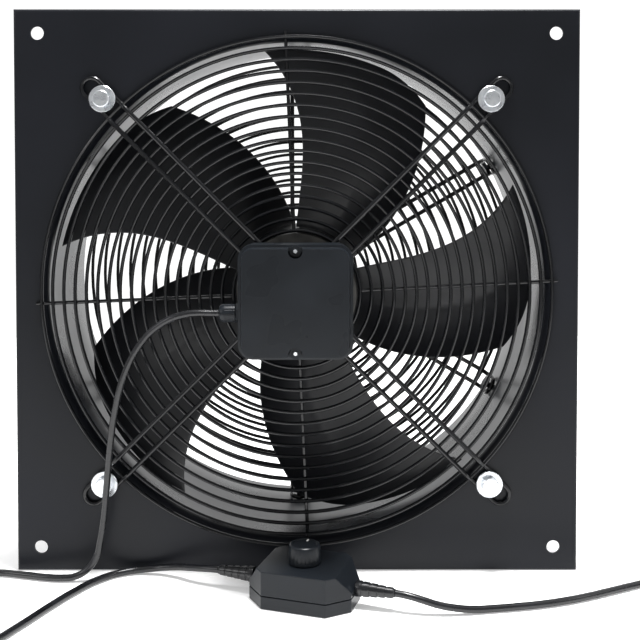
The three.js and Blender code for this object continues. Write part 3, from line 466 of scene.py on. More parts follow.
# ---- Rear guard's screws
# Cross-head pan screws through the duct wall, each with its nut inside the loop of an arm. They
# are case-hardened steel, blackened in an oil bath.

# Black oxide keeps the steel's sheen under a thin dark skin.
black_oxide = grained(
    "blackened steel", "1B1C1F", "2B2C30", (0.28, 0.45), 5, 0.6, 0.02, Metallic=0.85
)
PAN_R, PAN_CROWN_R, SHANK_R = 4.9, 3, 2.6
GUARD_NUT_R, GUARD_NUT_DEPTH = 7, 3.4


def cross_cutter(bm, wide, deep, y0, x=0, z=0):
    """The two slots of a cross recess, sunk half of `deep` below y0."""
    for size in ((wide, deep, wide * 0.26), (wide * 0.26, deep, wide)):
        slot = bmesh.ops.create_cube(bm, size=1)["verts"]
        bmesh.ops.scale(bm, verts=slot, vec=size)
        bmesh.ops.translate(bm, verts=slot, vec=(x, y0, z))


NUT_IN = DUCT_R - 1 - ARM_WIRE - 0.3
for i in range(GUARD_SCREWS):
    lie = Matrix.Rotation(i * 2 * pi / GUARD_SCREWS, 4, "Y") @ Matrix.Translation(
        (0, GUARD_SCREW_Y, 0)
    ) @ Matrix.Rotation(pi / 2, 4, "X")
    bm = bmesh.new()
    rod(bm, PAN_R + 0.1, wall + 0.3, wall + 2.2, 32, tip=PAN_R)
    rod(bm, PAN_R, wall + 2.2, wall + 3.5, 32, tip=PAN_CROWN_R)
    rod(bm, SHANK_R, NUT_IN - GUARD_NUT_DEPTH, wall + 1, 16)
    rod(bm, GUARD_NUT_R, NUT_IN - GUARD_NUT_DEPTH, NUT_IN, 6)
    bmesh.ops.transform(bm, verts=bm.verts, matrix=lie)
    name = f"rear_guard_screw_{i + 1}"
    screw = settle(f"pan_screw_{i + 1}", bm, black_oxide, "frame", "black_screw", name)
    bm = bmesh.new()
    cross_cutter(bm, 5, 3, wall + 3.5)
    bmesh.ops.transform(bm, verts=bm.verts, matrix=lie)
    carve(screw, bm)

# ---- Motor's end shield
# A disc cast in aluminium and painted black, with the tube that the stator is pressed on. It
# sits behind the grille's arms and carries the whole motor.

FLANGE_R, FLANGE_Y, FLANGE_BACK = 50, -24.4, -17.4
FLANGE_SCREW_R = 42
HUB_R, HUB_END = 14, 50
BEARING_SEAT, SEAT_LIP = 11.3, 9
RECESS = 0.8
DIAGONALS = (45, 135, 225, 315)

# Thin black paint over the cast skin is slightly cloudy and pitted: it shines softly, and a
# little metal shows through.
painted_casting = grained(
    "painted cast aluminium", "2E2E2D", "484745", (0.3, 0.44), 9, 0.7, 0.05, Metallic=0.7
)
bm = bmesh.new()
spun(
    bm,
    [
        (12, FLANGE_Y),
        (30, FLANGE_Y),
        (31, FLANGE_Y + RECESS),
        (35, FLANGE_Y + RECESS),
        (36, FLANGE_Y),
        (FLANGE_R - 1.6, FLANGE_Y),
        (FLANGE_R - 0.5, FLANGE_Y + 0.5),
        (FLANGE_R, FLANGE_Y + 1.6),
        (FLANGE_R, FLANGE_BACK - 0.8),
        (FLANGE_R - 0.8, FLANGE_BACK),
        (HUB_R + 1.5, FLANGE_BACK),
        (HUB_R, FLANGE_BACK + 1.5),
        (HUB_R, HUB_END),
        (BEARING_SEAT, HUB_END),
        (BEARING_SEAT, HUB_END - 8),
        (SEAT_LIP, HUB_END - 8),
        (SEAT_LIP, FLANGE_BACK + 7),
        (BEARING_SEAT, FLANGE_BACK + 7),
        (BEARING_SEAT, FLANGE_Y + 4),
    ],
)
shield = settle("cast_end_shield", bm, painted_casting, "frame", "cast_aluminium", "motor_flange")
bm = bmesh.new()
for degrees in DIAGONALS:
    hole = rod(bm, SHANK_R, FLANGE_Y - 1, FLANGE_BACK + 1, 20, 0, FLANGE_SCREW_R)
    bmesh.ops.rotate(bm, verts=hole, matrix=Matrix.Rotation(radians(degrees), 3, "Y"))
carve(shield, bm)

# ---- Stator and bearings
# A stack of punched electrical-steel sheets with an enamelled copper winding in its slots, and
# two ground ball bearings. They keep their modelled shapes, closed inside the rotor.


def keep(look, *nodes):
    """Gives parts whose modelled shape is already right their finish."""
    for name in nodes:
        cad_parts[name].data.materials.clear()
        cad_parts[name].data.materials.append(look)


def banded(name, dark, pale, pitch, along, **shader):
    """A finish with fine bands `pitch` millimetres apart along one axis."""

    def look(tree):
        at = add(tree, "ShaderNodeTexCoord").outputs["Object"]
        # One band of this node's pattern is pi / 10 of a unit long at a scale of 1.
        scale = pi / 10 / (pitch * MM)
        wave = add(
            tree,
            "ShaderNodeTexWave",
            {"Vector": at, "Scale": scale, "Distortion": 0.6},
            bands_direction=along,
        )
        tone = add(tree, "ShaderNodeValToRGB", {0: wave.outputs[1]})
        tone.color_ramp.elements[0].color = linear(dark)
        tone.color_ramp.elements[1].color = linear(pale)
        bump = add(tree, "ShaderNodeBump", {"Distance": 0.1 * MM, "Height": wave.outputs[1]})
        return add(
            tree,
            "ShaderNodeBsdfPrincipled",
            {"Base Color": tone.outputs[0], "Normal": bump.outputs[0], **shader},
        )

    return finish(name, look)


# The edges of the half-millimetre sheets show as fine lines.
keep(
    banded("electrical steel", "55585C", "7C7F83", 0.5, "Y", Metallic=0.9, Roughness=0.45),
    "stator_core",
)
# Enamel turns copper wire a deep, glossy orange brown. Each turn is 0.8 mm across.
keep(
    banded("enamelled copper", "6E3419", "B4642F", 0.8, "Y", Metallic=0.8, Roughness=0.32),
    "stator_winding",
)
# Ground and polished, with only the finest marks of the wheel.
ground_steel = grained(
    "ground steel", "A9ACB0", "C6C8CB", (0.16, 0.28), 6, 0.3, 0.01, Metallic=1.0
)
keep(ground_steel, "front_bearing", "rear_bearing")

# ---- Rotor
# A cup drawn from sheet steel turns round the stator, with an aluminium cage pressed into it. It
# is sprayed with the same satin black as the blades.

ROTOR_R, ROTOR_WALL = 52, 3
ROTOR_FRONT, ROTOR_BACK = -13, 66
SHAFT_HOLE = 4.3
DRAWN_R, PRESSED_R = 6, 4
CUP_BEAD_Y, CUP_BEAD_WIDE, CUP_BEAD_HIGH = 2.5, 4, 0.9

# Air-dried spray paint: satin, with a fine dry texture that spreads its highlights.
satin_black = grained("satin black paint", "0F1013", "15161A", (0.3, 0.4), 60, 0.9, 0.02, IOR=1.48)
bm = bmesh.new()
inner = ROTOR_R - ROTOR_WALL
drawn = [
    (ROTOR_R - DRAWN_R * (1 - cos(t)), ROTOR_BACK - DRAWN_R * (1 - sin(t)))
    for t in (pi / 2 * step / 8 for step in range(9))
]
pressed = [
    (inner - PRESSED_R * (1 - cos(t)), ROTOR_BACK - ROTOR_WALL - PRESSED_R * (1 - sin(t)))
    for t in (pi / 2 * step / 4 for step in range(4, -1, -1))
]
bead = [
    (ROTOR_R - CUP_BEAD_HIGH * sin(pi * k / 4), CUP_BEAD_Y + CUP_BEAD_WIDE * k / 4)
    for k in range(5)
]
groove = [(34, ROTOR_BACK), (33, ROTOR_BACK - 1.2), (22, ROTOR_BACK - 1.2), (21, ROTOR_BACK)]
spun(
    bm,
    [
        (SHAFT_HOLE, ROTOR_BACK - ROTOR_WALL),
        *pressed,
        (inner, ROTOR_FRONT + 0.4),
        (inner + 0.4, ROTOR_FRONT),
        (ROTOR_R - 0.6, ROTOR_FRONT),
        (ROTOR_R, ROTOR_FRONT + 0.6),
        *bead,
        *drawn,
        *groove,
        (SHAFT_HOLE, ROTOR_BACK),
    ],
)
settle("drawn_rotor_cup", bm, satin_black, "impeller", "blade_paint", "rotor_shell")
# Pressure-cast metal, left bare inside the motor.
cast_aluminium = grained(
    "cast aluminium", "A4A7AA", "C2C4C6", (0.3, 0.46), 14, 0.7, 0.05, Metallic=1.0
)
keep(cast_aluminium, "rotor_cage")
keep(ground_steel, "motor_shaft")

# ---- Blades
# Five sickle blades pressed from sheet steel, each with a stiffening bead along its middle, and
# fillet welded to the rotor cup on both sides.

BLADES = 5
BLADE_SHEET = 1.8
ROOT_R, TIP_R = ROTOR_R + 0.6, 204
LEAD_Y, RUN, CAMBER = 8, 54, 7
LEAD_TURN, LEAD_SWEEP, STRAIGHTEST_R = 159.7, 0.0011, 108
TRAIL_TURN, TRAIL_SWEEP = 95, 0.2175
TIP_CUT, CUT_START = 9, 0.7
BEAD_DEPTH, BEAD_HALF = 0.5, 0.07


def blade_point(u, c):
    """A point of the first blade: u runs from root to tip, c from leading to trailing edge."""
    tip = TIP_R - TIP_CUT * max(0, (c - CUT_START) / (1 - CUT_START)) ** 2
    r = ROOT_R + (tip - ROOT_R) * u
    lead = LEAD_TURN + LEAD_SWEEP * (r - STRAIGHTEST_R) ** 2
    trail = TRAIL_TURN + TRAIL_SWEEP * (r - ROTOR_R)
    turn = radians(lead + (trail - lead) * c)
    y = LEAD_Y + RUN * c - CAMBER * sin(pi * c)
    run_in = min(1, max(0, min(u - 0.1, 0.85 - u) / 0.06))
    inside = max(0, 1 - abs(c - 0.5) / BEAD_HALF) * run_in
    return Vector((r * cos(turn), y - BEAD_DEPTH * inside, r * sin(turn)))


for i in range(BLADES):
    turn = Matrix.Rotation(radians(-360 / BLADES * i), 3, "Y")
    bm = bmesh.new()
    bmesh.ops.create_grid(bm, x_segments=36, y_segments=44, size=0.5)
    for v in bm.verts:
        v.co = blade_point(v.co.x + 0.5, v.co.y + 0.5)
    bmesh.ops.rotate(bm, verts=bm.verts, matrix=turn)
    name = f"blade_{i + 1}"
    blade = settle(f"sickle_blade_{i + 1}", bm, satin_black, "impeller", "blade_paint", name)
    shape(blade, "SOLIDIFY", thickness=(BLADE_SHEET - 0.1) * MM, offset=0, use_even_offset=True)
    shape(blade, "BEVEL", 50, width=0.5 * MM, segments=2, limit_method="ANGLE", angle_limit=1.2)
    bm = bmesh.new()
    for side in (-0.9, 0.9):
        seam = [blade_point(0, 0.04 + 0.92 * k / 24) + Vector((0, side, 0)) for k in range(25)]
        bend_wire(bm, [p * ((ROOT_R - 0.2) / ROOT_R) for p in seam], 1.6, sides=8)
    for v in bm.verts:
        flat = Vector((v.co.x, 0, v.co.z))
        v.co += flat.normalized() * max(0, ROTOR_R + 0.05 - flat.length)
    bmesh.ops.rotate(bm, verts=bm.verts, matrix=turn)
    settle(f"blade_weld_{i + 1}", bm, satin_black, "impeller", "blade_paint")

# ---- Front grille
# Eighteen rings of steel wire on a very shallow cone, spot welded to four looped arms in front of
# them and four single spokes behind. It is black like the rear guard, and guards the motor's side.

OUTER_RING, INNER_RING, RINGS = 212, 52.2, 18
GRILLE_LIFT, GRILLE_RISE = 4, 6
ARM_END_R = 240
ARM_HALF_PITCH = 8
SPOKE_TURN = -2.5
ARM_SEAT = FRONT - ARM_WIRE / 2 - 0.3


def grille_y(r):
    return FRONT - GRILLE_LIFT - GRILLE_RISE * (OUTER_RING - r) / (OUTER_RING - INNER_RING)


bm = bmesh.new()
for i in range(RINGS):
    r = OUTER_RING + (INNER_RING - OUTER_RING) * i / (RINGS - 1)
    hoop(bm, r, RING_WIRE, grille_y(r), 144 if r > 100 else SIDES)
path = [(r, grille_y(r) - ARM_LIFT) for r in (FLANGE_SCREW_R, 60, 100, 156, 200, 206)]
path += [(208.5, -20), (212, -17.2), (214.5, ARM_SEAT - 0.1), (218, ARM_SEAT), (ARM_END_R, ARM_SEAT)]
for degrees in DIAGONALS:
    double_arm(bm, path, ARM_HALF_PITCH, (ARM_HALF_PITCH, 0), degrees)
for degrees in (0, 90, 180, 270):
    spans = ((INNER_RING - 1, 0), (OUTER_RING, 5))
    ends = [(0, grille_y(r) + RING_WIRE - WELD, r + more) for r, more in spans]
    spoke = bend_wire(bm, ends, RING_WIRE)
    turn = Matrix.Rotation(radians(degrees + SPOKE_TURN), 3, "Y")
    bmesh.ops.rotate(bm, verts=spoke, matrix=turn)
settle("welded_front_grille", bm, black_dip, "frame", "wire_coat", "front_grille")

# ---- Grille bolts
# Four hex bolts with broad washers clamp the arms' outer loops to the plate. They are steel with
# a bright zinc plating.

WASHER, WASHER_R, WASHER_BORE = 1.6, 11, 4.3
HEX_R, HEX_DEPTH, HEX_CHAMFER = 7.5, 5.5, 0.6
BOLT_SHANK_R, THREAD_PITCH = 3.9, 1
BOLT_END = FRONT + 9

# Bright zinc has a cool, slightly cloudy shine.
bright_zinc = grained(
    "bright zinc plating", "D6DADF", "E6E9EC", (0.24, 0.36), 6, 0.5, 0.01, Metallic=1.0
)
washer_back = FRONT - ARM_WIRE - 0.6
head_back = washer_back - WASHER - 0.3
chamfer_y = head_back - HEX_DEPTH + HEX_CHAMFER
for i, degrees in enumerate(DIAGONALS):
    turn = Matrix.Rotation(radians(degrees), 4, "Y") @ Matrix.Translation((0, 0, BOLT_R))
    bm = bmesh.new()
    rod(bm, HEX_R, chamfer_y, head_back, 6)
    rod(bm, 6.2, head_back - HEX_DEPTH, chamfer_y, 36, tip=6.9)
    rod(bm, BOLT_SHANK_R, head_back - 1, BOLT_END - 0.6, 24)
    rod(bm, BOLT_SHANK_R, BOLT_END - 0.6, BOLT_END, 24, tip=3.3)
    for k in range(6):
        hoop(bm, BOLT_SHANK_R - 0.15, 0.3, FRONT + 3.2 + k * THREAD_PITCH, 24)
    bmesh.ops.transform(bm, verts=bm.verts, matrix=turn)
    node = f"grille_bolt_{i + 1}"
    settle(f"hex_bolt_{i + 1}", bm, bright_zinc, "frame", "zinc", node)
    bm = bmesh.new()
    front = washer_back - WASHER
    spun(
        bm,
        [
            (WASHER_BORE, front),
            (WASHER_R - 0.4, front),
            (WASHER_R, front + 0.4),
            (WASHER_R, washer_back),
            (WASHER_BORE, washer_back),
        ],
        48,
    )
    bmesh.ops.transform(bm, verts=bm.verts, matrix=turn)
    node = f"grille_washer_{i + 1}"
    settle(f"broad_washer_{i + 1}", bm, bright_zinc, "frame", "zinc", node)

# ---- Motor screws
# Four cross-head screws with washer heads hold the arms' inner loops down on the end shield.

SCREW_WASHER_R, PAN_DEPTH = 9.5, 2.6
under = grille_y(FLANGE_SCREW_R) - ARM_LIFT - ARM_WIRE / 2 - 0.3
for i, degrees in enumerate(DIAGONALS):
    turn = Matrix.Rotation(radians(degrees), 4, "Y") @ Matrix.Translation((0, 0, FLANGE_SCREW_R))
    bm = bmesh.new()
    rod(bm, SCREW_WASHER_R - 0.5, under - 1.2, under, 40, tip=SCREW_WASHER_R)
    rod(bm, 3.2, under - PAN_DEPTH, under - PAN_DEPTH + 1, 32, tip=4.8)
    rod(bm, 4.8, under - PAN_DEPTH + 1, under - 1, 32)
    rod(bm, 2.2, under - 1, FLANGE_BACK - 1, 16)
    bmesh.ops.transform(bm, verts=bm.verts, matrix=turn)
    node = f"motor_flange_screw_{i + 1}"
    screw = settle(f"washer_screw_{i + 1}", bm, black_oxide, "frame", "black_screw", node)
    bm = bmesh.new()
    cross_cutter(bm, 5, 2.4, under - PAN_DEPTH)
    bmesh.ops.transform(bm, verts=bm.verts, matrix=turn)
    carve(screw, bm)

# ---- Terminal box
# A square base moulded in charcoal plastic stands on the end shield with a boss, and holds the
# terminal block and the run capacitor. A gasket and a cap with two screws close it.

LID, LID_FACE, LID_DEPTH, LID_CORNER = 90, -79.5, 16, 12
BASE, BASE_FRONT, BASE_BACK, BASE_CORNER = 86, -61.9, -32.6, 10
LID_BACK = LID_FACE + LID_DEPTH
BOX_WALL = 3
LID_RIM = 9
LID_SCREW_Z = 40
SCREW_POST_Z, SCREW_POST_R = 37.5, 4.5
BOSS_R, BOSS_BORE, BOSS_BACK = 24, 9, -24.7
RIM_STEP, RIM_RISE, RIM_IN = 2.2, 0.5, 0.8
NOTCH_R, NOTCH_DEPTH = 5.5, 6
GLAND_Y, GLAND_Z, GLAND_HOLE_R = -44, -13, 6.3

# Glass-filled plastic from a spark-eroded mould: an even leathery grain under a dull sheen.
MATT = {"Specular IOR Level": 0.24}
charcoal_plastic = grained(
    "charcoal moulded plastic", "15181C", "1A1E23", (0.26, 0.34), 45, 0.8, 0.015, **MATT
)


def rounded_block(bm, side, corner, y0, y1, height=None, segments=8):
    """A block, square unless it has a height, whose four edges along Y are rounded. Returns its
    vertices."""
    known = set(bm.verts)
    made = bmesh.ops.create_cube(bm, size=1)["verts"]
    bmesh.ops.scale(bm, verts=made, vec=(side, y1 - y0, height or side))
    bmesh.ops.translate(bm, verts=made, vec=(0, (y0 + y1) / 2, 0))
    edges = {e for v in made for e in v.link_edges}
    upright = [e for e in edges if abs(e.verts[0].co.y - e.verts[1].co.y) > 0.5 * (y1 - y0)]
    bmesh.ops.bevel(
        bm, geom=upright, offset=corner, segments=segments, profile=0.5, material=-1, affect="EDGES"
    )
    return [v for v in bm.verts if v not in known]


bm = bmesh.new()
rounded_block(bm, BASE, BASE_CORNER, BASE_FRONT, BASE_BACK)
base = settle("terminal_box_tray", bm, charcoal_plastic, "frame", "box_plastic", "terminal_box_base")
bm = bmesh.new()
rounded_block(bm, BASE - 2 * BOX_WALL, BASE_CORNER - BOX_WALL, BASE_FRONT - 2, BASE_BACK - BOX_WALL)
gland_hole = rod(bm, GLAND_HOLE_R, -3, BOX_WALL + 3, 32)
bmesh.ops.rotate(bm, verts=gland_hole, matrix=Matrix.Rotation(-pi / 2, 3, "Z"))
bmesh.ops.translate(bm, verts=gland_hole, vec=(-BASE / 2, GLAND_Y, GLAND_Z))
carve(base, bm, 0.5)
bm = bmesh.new()
boss_front = BASE_BACK + 0.02
spun(
    bm,
    [(BOSS_BORE, boss_front), (BOSS_R, boss_front), (BOSS_R, BOSS_BACK), (BOSS_BORE, BOSS_BACK)],
    48,
)
for z in (-SCREW_POST_Z, SCREW_POST_Z):
    rod(bm, SCREW_POST_R, BASE_FRONT + 0.3, BASE_BACK - BOX_WALL + 0.5, 24, 0, z)
settle("terminal_box_boss", bm, charcoal_plastic, "frame", "box_plastic")

# Black sponge rubber, quite dull.
sponge_rubber = grained("sponge rubber", "18181A", "222224", (0.8, 0.9), 8, 0.5, 0.08)
keep(sponge_rubber, "terminal_box_gasket")
# Ivory polyamide, slightly waxy.
ivory_plastic = grained("ivory polyamide", "CFCCBF", "DDDACD", (0.38, 0.48), 12, 0.6, 0.02)
keep(ivory_plastic, "terminal_block")
# Smooth dark grey case, cast full of resin at its end.
capacitor_case = grained("capacitor case", "35373B", "3E4044", (0.3, 0.4), 10, 0.7, 0.02)
keep(capacitor_case, "run_capacitor")

bm = bmesh.new()
rounded_block(bm, LID, LID_CORNER, LID_BACK - LID_RIM, LID_BACK)
bm.normal_update()
bmesh.ops.recalc_face_normals(bm, faces=bm.faces)
front = min(bm.faces, key=lambda f: f.calc_center_median().y)
bmesh.ops.inset_region(bm, faces=[front], thickness=RIM_STEP, depth=RIM_RISE)
bmesh.ops.inset_region(bm, faces=[front], thickness=RIM_IN, depth=LID_DEPTH - LID_RIM - RIM_RISE)
cap = settle("terminal_box_cap", bm, charcoal_plastic, "frame", "box_plastic", "terminal_box_lid")
bm = bmesh.new()
inside = LID - 4 - 2 * BOX_WALL
rounded_block(bm, inside, LID_CORNER - 4, LID_FACE + BOX_WALL, LID_BACK + 2)
carve(cap, bm)
bm = bmesh.new()
for side in (-1, 1):
    slot = rounded_block(bm, 2 * NOTCH_R, NOTCH_R - 0.01, LID_FACE - 2, LID_FACE + NOTCH_DEPTH, 24, 12)
    bmesh.ops.translate(bm, verts=slot, vec=(0, 0, side * (LID_SCREW_Z - NOTCH_R + 12)))
carve(cap, bm, 0.9)

SEAT_R, SEAT_BORE = 4.6, 2.2
seat_front, seat_back = LID_FACE + NOTCH_DEPTH + 0.02, LID_BACK - 0.2
bm = bmesh.new()
for side in (-1, 1):
    post = spun(
        bm,
        [(SEAT_BORE, seat_front), (SEAT_R, seat_front), (SEAT_R, seat_back), (SEAT_BORE, seat_back)],
        32,
    )
    bmesh.ops.translate(bm, verts=post, vec=(0, 0, side * LID_SCREW_Z))
settle("cap_screw_seats", bm, charcoal_plastic, "frame", "box_plastic")

seat = LID_FACE + NOTCH_DEPTH - 0.3
HEAD_DEPTH = 2.4
for i, side in enumerate((1, -1)):
    z = side * LID_SCREW_Z
    bm = bmesh.new()
    rod(bm, 2.4, seat - HEAD_DEPTH, seat - 1.5, 32, 0, z, 3.4)
    rod(bm, 3.6, seat - 1.5, seat, 32, 0, z)
    rod(bm, 1.5, seat - 1, BASE_BACK - 10, 16, 0, z)
    screw = settle(f"cap_screw_{i + 1}", bm, bright_zinc, "frame", "zinc", f"lid_screw_{i + 1}")
    bm = bmesh.new()
    cross_cutter(bm, 3.8, 2, seat - HEAD_DEPTH, 0, z)
    carve(screw, bm)

# ---- Cable gland
# A moulded gland screwed into the box's left wall. Its domed nut squeezes a rubber sleeve on the
# motor lead.

GLAND_R, GLAND_HEX_DEPTH = 8, 5.5
GLAND_BORE, NUT_MOUTH, GLAND_NUT_R, DOME_DEPTH = 3.05, 5, 7.4, 5
GRIPS = 12

bm = bmesh.new()
out = -BASE / 2 - 0.3
rod(bm, GLAND_R, out - GLAND_HEX_DEPTH + 0.5, out, 6)
rod(bm, 7.2, out - GLAND_HEX_DEPTH, out - GLAND_HEX_DEPTH + 0.5, 6, tip=GLAND_R)
rod(bm, 5.9, out - 1, out + BOX_WALL + 6, 32)
aim = Matrix.Translation((0, GLAND_Y, GLAND_Z)) @ Matrix.Rotation(-pi / 2, 4, "Z")
bmesh.ops.transform(bm, verts=bm.verts, matrix=aim)
settle("gland_body", bm, charcoal_plastic, "frame", "box_plastic", "cable_gland_body")
bm = bmesh.new()
nut_start, nut_end = -BASE / 2 - 6.1, -62
dome = [
    (NUT_MOUTH + (GLAND_NUT_R - NUT_MOUTH) * sin(t), nut_end + DOME_DEPTH * (1 - cos(t)))
    for t in (pi / 2 * step / 6 for step in range(7))
]
mouth = [(GLAND_BORE, nut_end + 1), (GLAND_BORE + 0.55, nut_end)]
spun(bm, [*mouth, *dome, (GLAND_NUT_R, nut_start), (GLAND_BORE, nut_start)], 48)
bmesh.ops.transform(bm, verts=bm.verts, matrix=aim)
nut = settle("gland_nut", bm, charcoal_plastic, "frame", "box_plastic", "cable_gland_nut")
bm = bmesh.new()
for k in range(GRIPS):
    grip = rod(bm, 0.55, nut_end + 4.5, nut_start + 1, 8, GLAND_NUT_R + 0.2, 0)
    bmesh.ops.rotate(bm, verts=grip, matrix=Matrix.Rotation(k * 2 * pi / GRIPS, 3, "Y"))
bmesh.ops.transform(bm, verts=bm.verts, matrix=aim)
carve(nut, bm)

# ---- Speed controller
# An in-line box of the same plastic in two shells, base and cover, with a potentiometer on a
# circuit board inside. It stands on its own flat underside.

LENGTH, DEPTH, HEIGHT = 84, 57, 29
CHAMFER = 16
SPLIT = 10
SLOPE_START, SLOPE_IN = 15, 10
WALL = 2.5
SPINDLE_HOLE_R = 3.8
STAND_X, STAND_Y, STAND_TURN = 7, -69, -18
stand = Matrix.Translation((STAND_X, STAND_Y, FLOOR)) @ Matrix.Rotation(radians(STAND_TURN), 4, "Z")


def eight_sided(bm, length, depth, chamfer, z0, z1):
    """An upright block with four chamfered corners, its ends sloping in above SLOPE_START."""
    made = bmesh.ops.create_cube(bm, size=1)["verts"]
    bmesh.ops.scale(bm, verts=made, vec=(length, depth, z1 - z0))
    bmesh.ops.translate(bm, verts=made, vec=(0, 0, (z0 + z1) / 2))
    upright = [e for e in bm.edges if abs(e.verts[0].co.z - e.verts[1].co.z) > 0.5]
    bmesh.ops.bevel(
        bm, geom=upright, offset=chamfer, segments=1, profile=0.5, material=-1, affect="EDGES"
    )
    for side in (-1, 1):
        slope = Vector((side * (HEIGHT - SLOPE_START), 0, SLOPE_IN))
        cut = bmesh.ops.bisect_plane(
            bm,
            geom=list(bm.verts) + list(bm.edges) + list(bm.faces),
            plane_co=(side * length / 2, 0, SLOPE_START),
            plane_no=slope,
            clear_outer=True,
        )["geom_cut"]
        edges = [g for g in cut if isinstance(g, bmesh.types.BMEdge)]
        if edges:
            bmesh.ops.contextual_create(bm, geom=edges)


for name, node, z0, z1, hollow in (
    ("controller_lower_shell", "controller_base", 0, SPLIT, (WALL, SPLIT + 5)),
    ("controller_upper_shell", "controller_cover", SPLIT + 0.3, HEIGHT, (0, HEIGHT - WALL)),
):
    bm = bmesh.new()
    eight_sided(bm, LENGTH, DEPTH, CHAMFER, z0, z1)
    bmesh.ops.transform(bm, verts=bm.verts, matrix=stand)
    shell = settle(name, bm, charcoal_plastic, "frame", "box_plastic", node)
    bm = bmesh.new()
    eight_sided(bm, LENGTH - 2 * WALL, DEPTH - 2 * WALL, CHAMFER - 1.5, *hollow)
    if node == "controller_cover":
        spindle = rod(bm, SPINDLE_HOLE_R, HEIGHT - 6, HEIGHT + 3, 32)
        bmesh.ops.rotate(bm, verts=spindle, matrix=Matrix.Rotation(pi / 2, 3, "X"))
    bmesh.ops.transform(bm, verts=bm.verts, matrix=stand)
    carve(shell, bm, 0.6)

# Green solder mask over glass cloth.
solder_mask = grained("solder mask", "24502F", "2F6440", (0.25, 0.35), 9, 0.4, 0.02)
keep(solder_mask, "controller_circuit_board")
# Drawn brass, slightly tarnished.
brass = grained("brass", "A98D50", "C7AC68", (0.24, 0.38), 7, 0.5, 0.01, Metallic=1.0)
keep(brass, "potentiometer")
keep(ground_steel, "potentiometer_shaft")

# ---- Knob
# A turned-looking knob moulded in the same plastic, fluted for grip, with a pale filled mark on
# its top. It is pushed on the potentiometer's spindle.

KNOB_R, KNOB_FOOT, KNOB_TOP = 13, 29.5, 44
KNOB_BORE, KNOB_SKIN = 3.4, 3
FLUTES, FLUTE_R = 24, 0.7
upend = stand @ Matrix.Rotation(pi / 2, 4, "X")
bm = bmesh.new()
spun(
    bm,
    [
        (KNOB_BORE, KNOB_FOOT),
        (KNOB_R - 0.4, KNOB_FOOT),
        (KNOB_R, KNOB_FOOT + 0.4),
        (KNOB_R, KNOB_FOOT + 2),
        (KNOB_R - 0.6, KNOB_TOP - 1.8),
        (KNOB_R - 1.1, KNOB_TOP - 0.6),
        (KNOB_R - 2, KNOB_TOP),
        (KNOB_R - 3.4, KNOB_TOP),
        (KNOB_R - 3.8, KNOB_TOP - 0.4),
        (0.05, KNOB_TOP - 0.4),
        (0.05, KNOB_TOP - KNOB_SKIN),
        (KNOB_BORE, KNOB_TOP - KNOB_SKIN),
    ],
    72,
)
bmesh.ops.transform(bm, verts=bm.verts, matrix=upend)
knob = settle("fluted_knob", bm, charcoal_plastic, "knob", "box_plastic", "controller_knob")
bm = bmesh.new()
for k in range(FLUTES):
    flute = rod(bm, FLUTE_R, KNOB_FOOT + 2.4, KNOB_TOP + 1, 10, KNOB_R + FLUTE_R / 2, 0)
    turn = Matrix.Rotation((k + 0.5) * 2 * pi / FLUTES, 3, "Y")
    bmesh.ops.rotate(bm, verts=flute, matrix=turn)
bmesh.ops.transform(bm, verts=bm.verts, matrix=upend)
carve(knob, bm)
# White paint wiped into the moulded mark.
mark_paint = grained("mark paint", "D9D9D4", "E6E6E2", (0.4, 0.5), 3, 0.4, 0.01)
bm = bmesh.new()
bmesh.ops.create_cube(bm, size=1)
bmesh.ops.scale(bm, verts=bm.verts, vec=(1.3, 5, 0.5))
bmesh.ops.translate(bm, verts=bm.verts, vec=(0, 8.2, KNOB_TOP - 0.3))
bmesh.ops.transform(bm, verts=bm.verts, matrix=stand)
settle("knob_mark", bm, mark_paint, "knob", "box_plastic")

# ---- Motor lead
# A black PVC lead 5.5 mm across. It leaves the gland, hangs down over the grille's lower left
# arm, lies on the surface in one loop, and ends in a ribbed boot moulded into the controller.

LEAD = 5.5
LEAD_Z = FLOOR + LEAD / 2 + 0.2
RELIEF_LENGTH, RELIEF_Z = 31, 14
RELIEF_R, RELIEF_TIP_R, RELIEF_BORE = 6.2, 3.6, 2.8
RIBS = 5

# Extruded PVC is smooth and oily-looking, with faint marks of the die.
black_pvc = grained("black PVC", "0E0F11", "15161A", (0.2, 0.32), 25, 1.2, 0.01, IOR=1.53)


def boot(name, node, side):
    """A ribbed, tapered strain relief on one of the controller's end walls."""
    bm = bmesh.new()
    start = LENGTH / 2 + 0.3
    profile = [(RELIEF_BORE, start), (RELIEF_R - 0.2, start), (RELIEF_R, start + 0.4)]
    wide = RELIEF_LENGTH / RIBS
    for k in range(RIBS):
        r = RELIEF_R - (RELIEF_R - RELIEF_TIP_R) * (k + 1) / RIBS
        y = start + wide * k
        profile += [(r + 0.4, y + wide * 0.7), (r + 0.1, y + wide * 0.76)]
        profile += [(r - 0.35, y + wide * 0.8), (r - 0.4, y + wide * 0.95), (r + 0.1, y + wide)]
    end = start + RELIEF_LENGTH
    profile[-1] = (3.3, end)
    spun(bm, [*profile, (RELIEF_BORE, end)], 40)
    turn = Matrix.Rotation(radians(-90 * side), 4, "Z")
    bmesh.ops.transform(bm, verts=bm.verts, matrix=turn)
    bmesh.ops.translate(bm, verts=bm.verts, vec=(0, 0, RELIEF_Z))
    bmesh.ops.transform(bm, verts=bm.verts, matrix=stand)
    settle(name, bm, black_pvc, "frame", "lead_pvc", node)


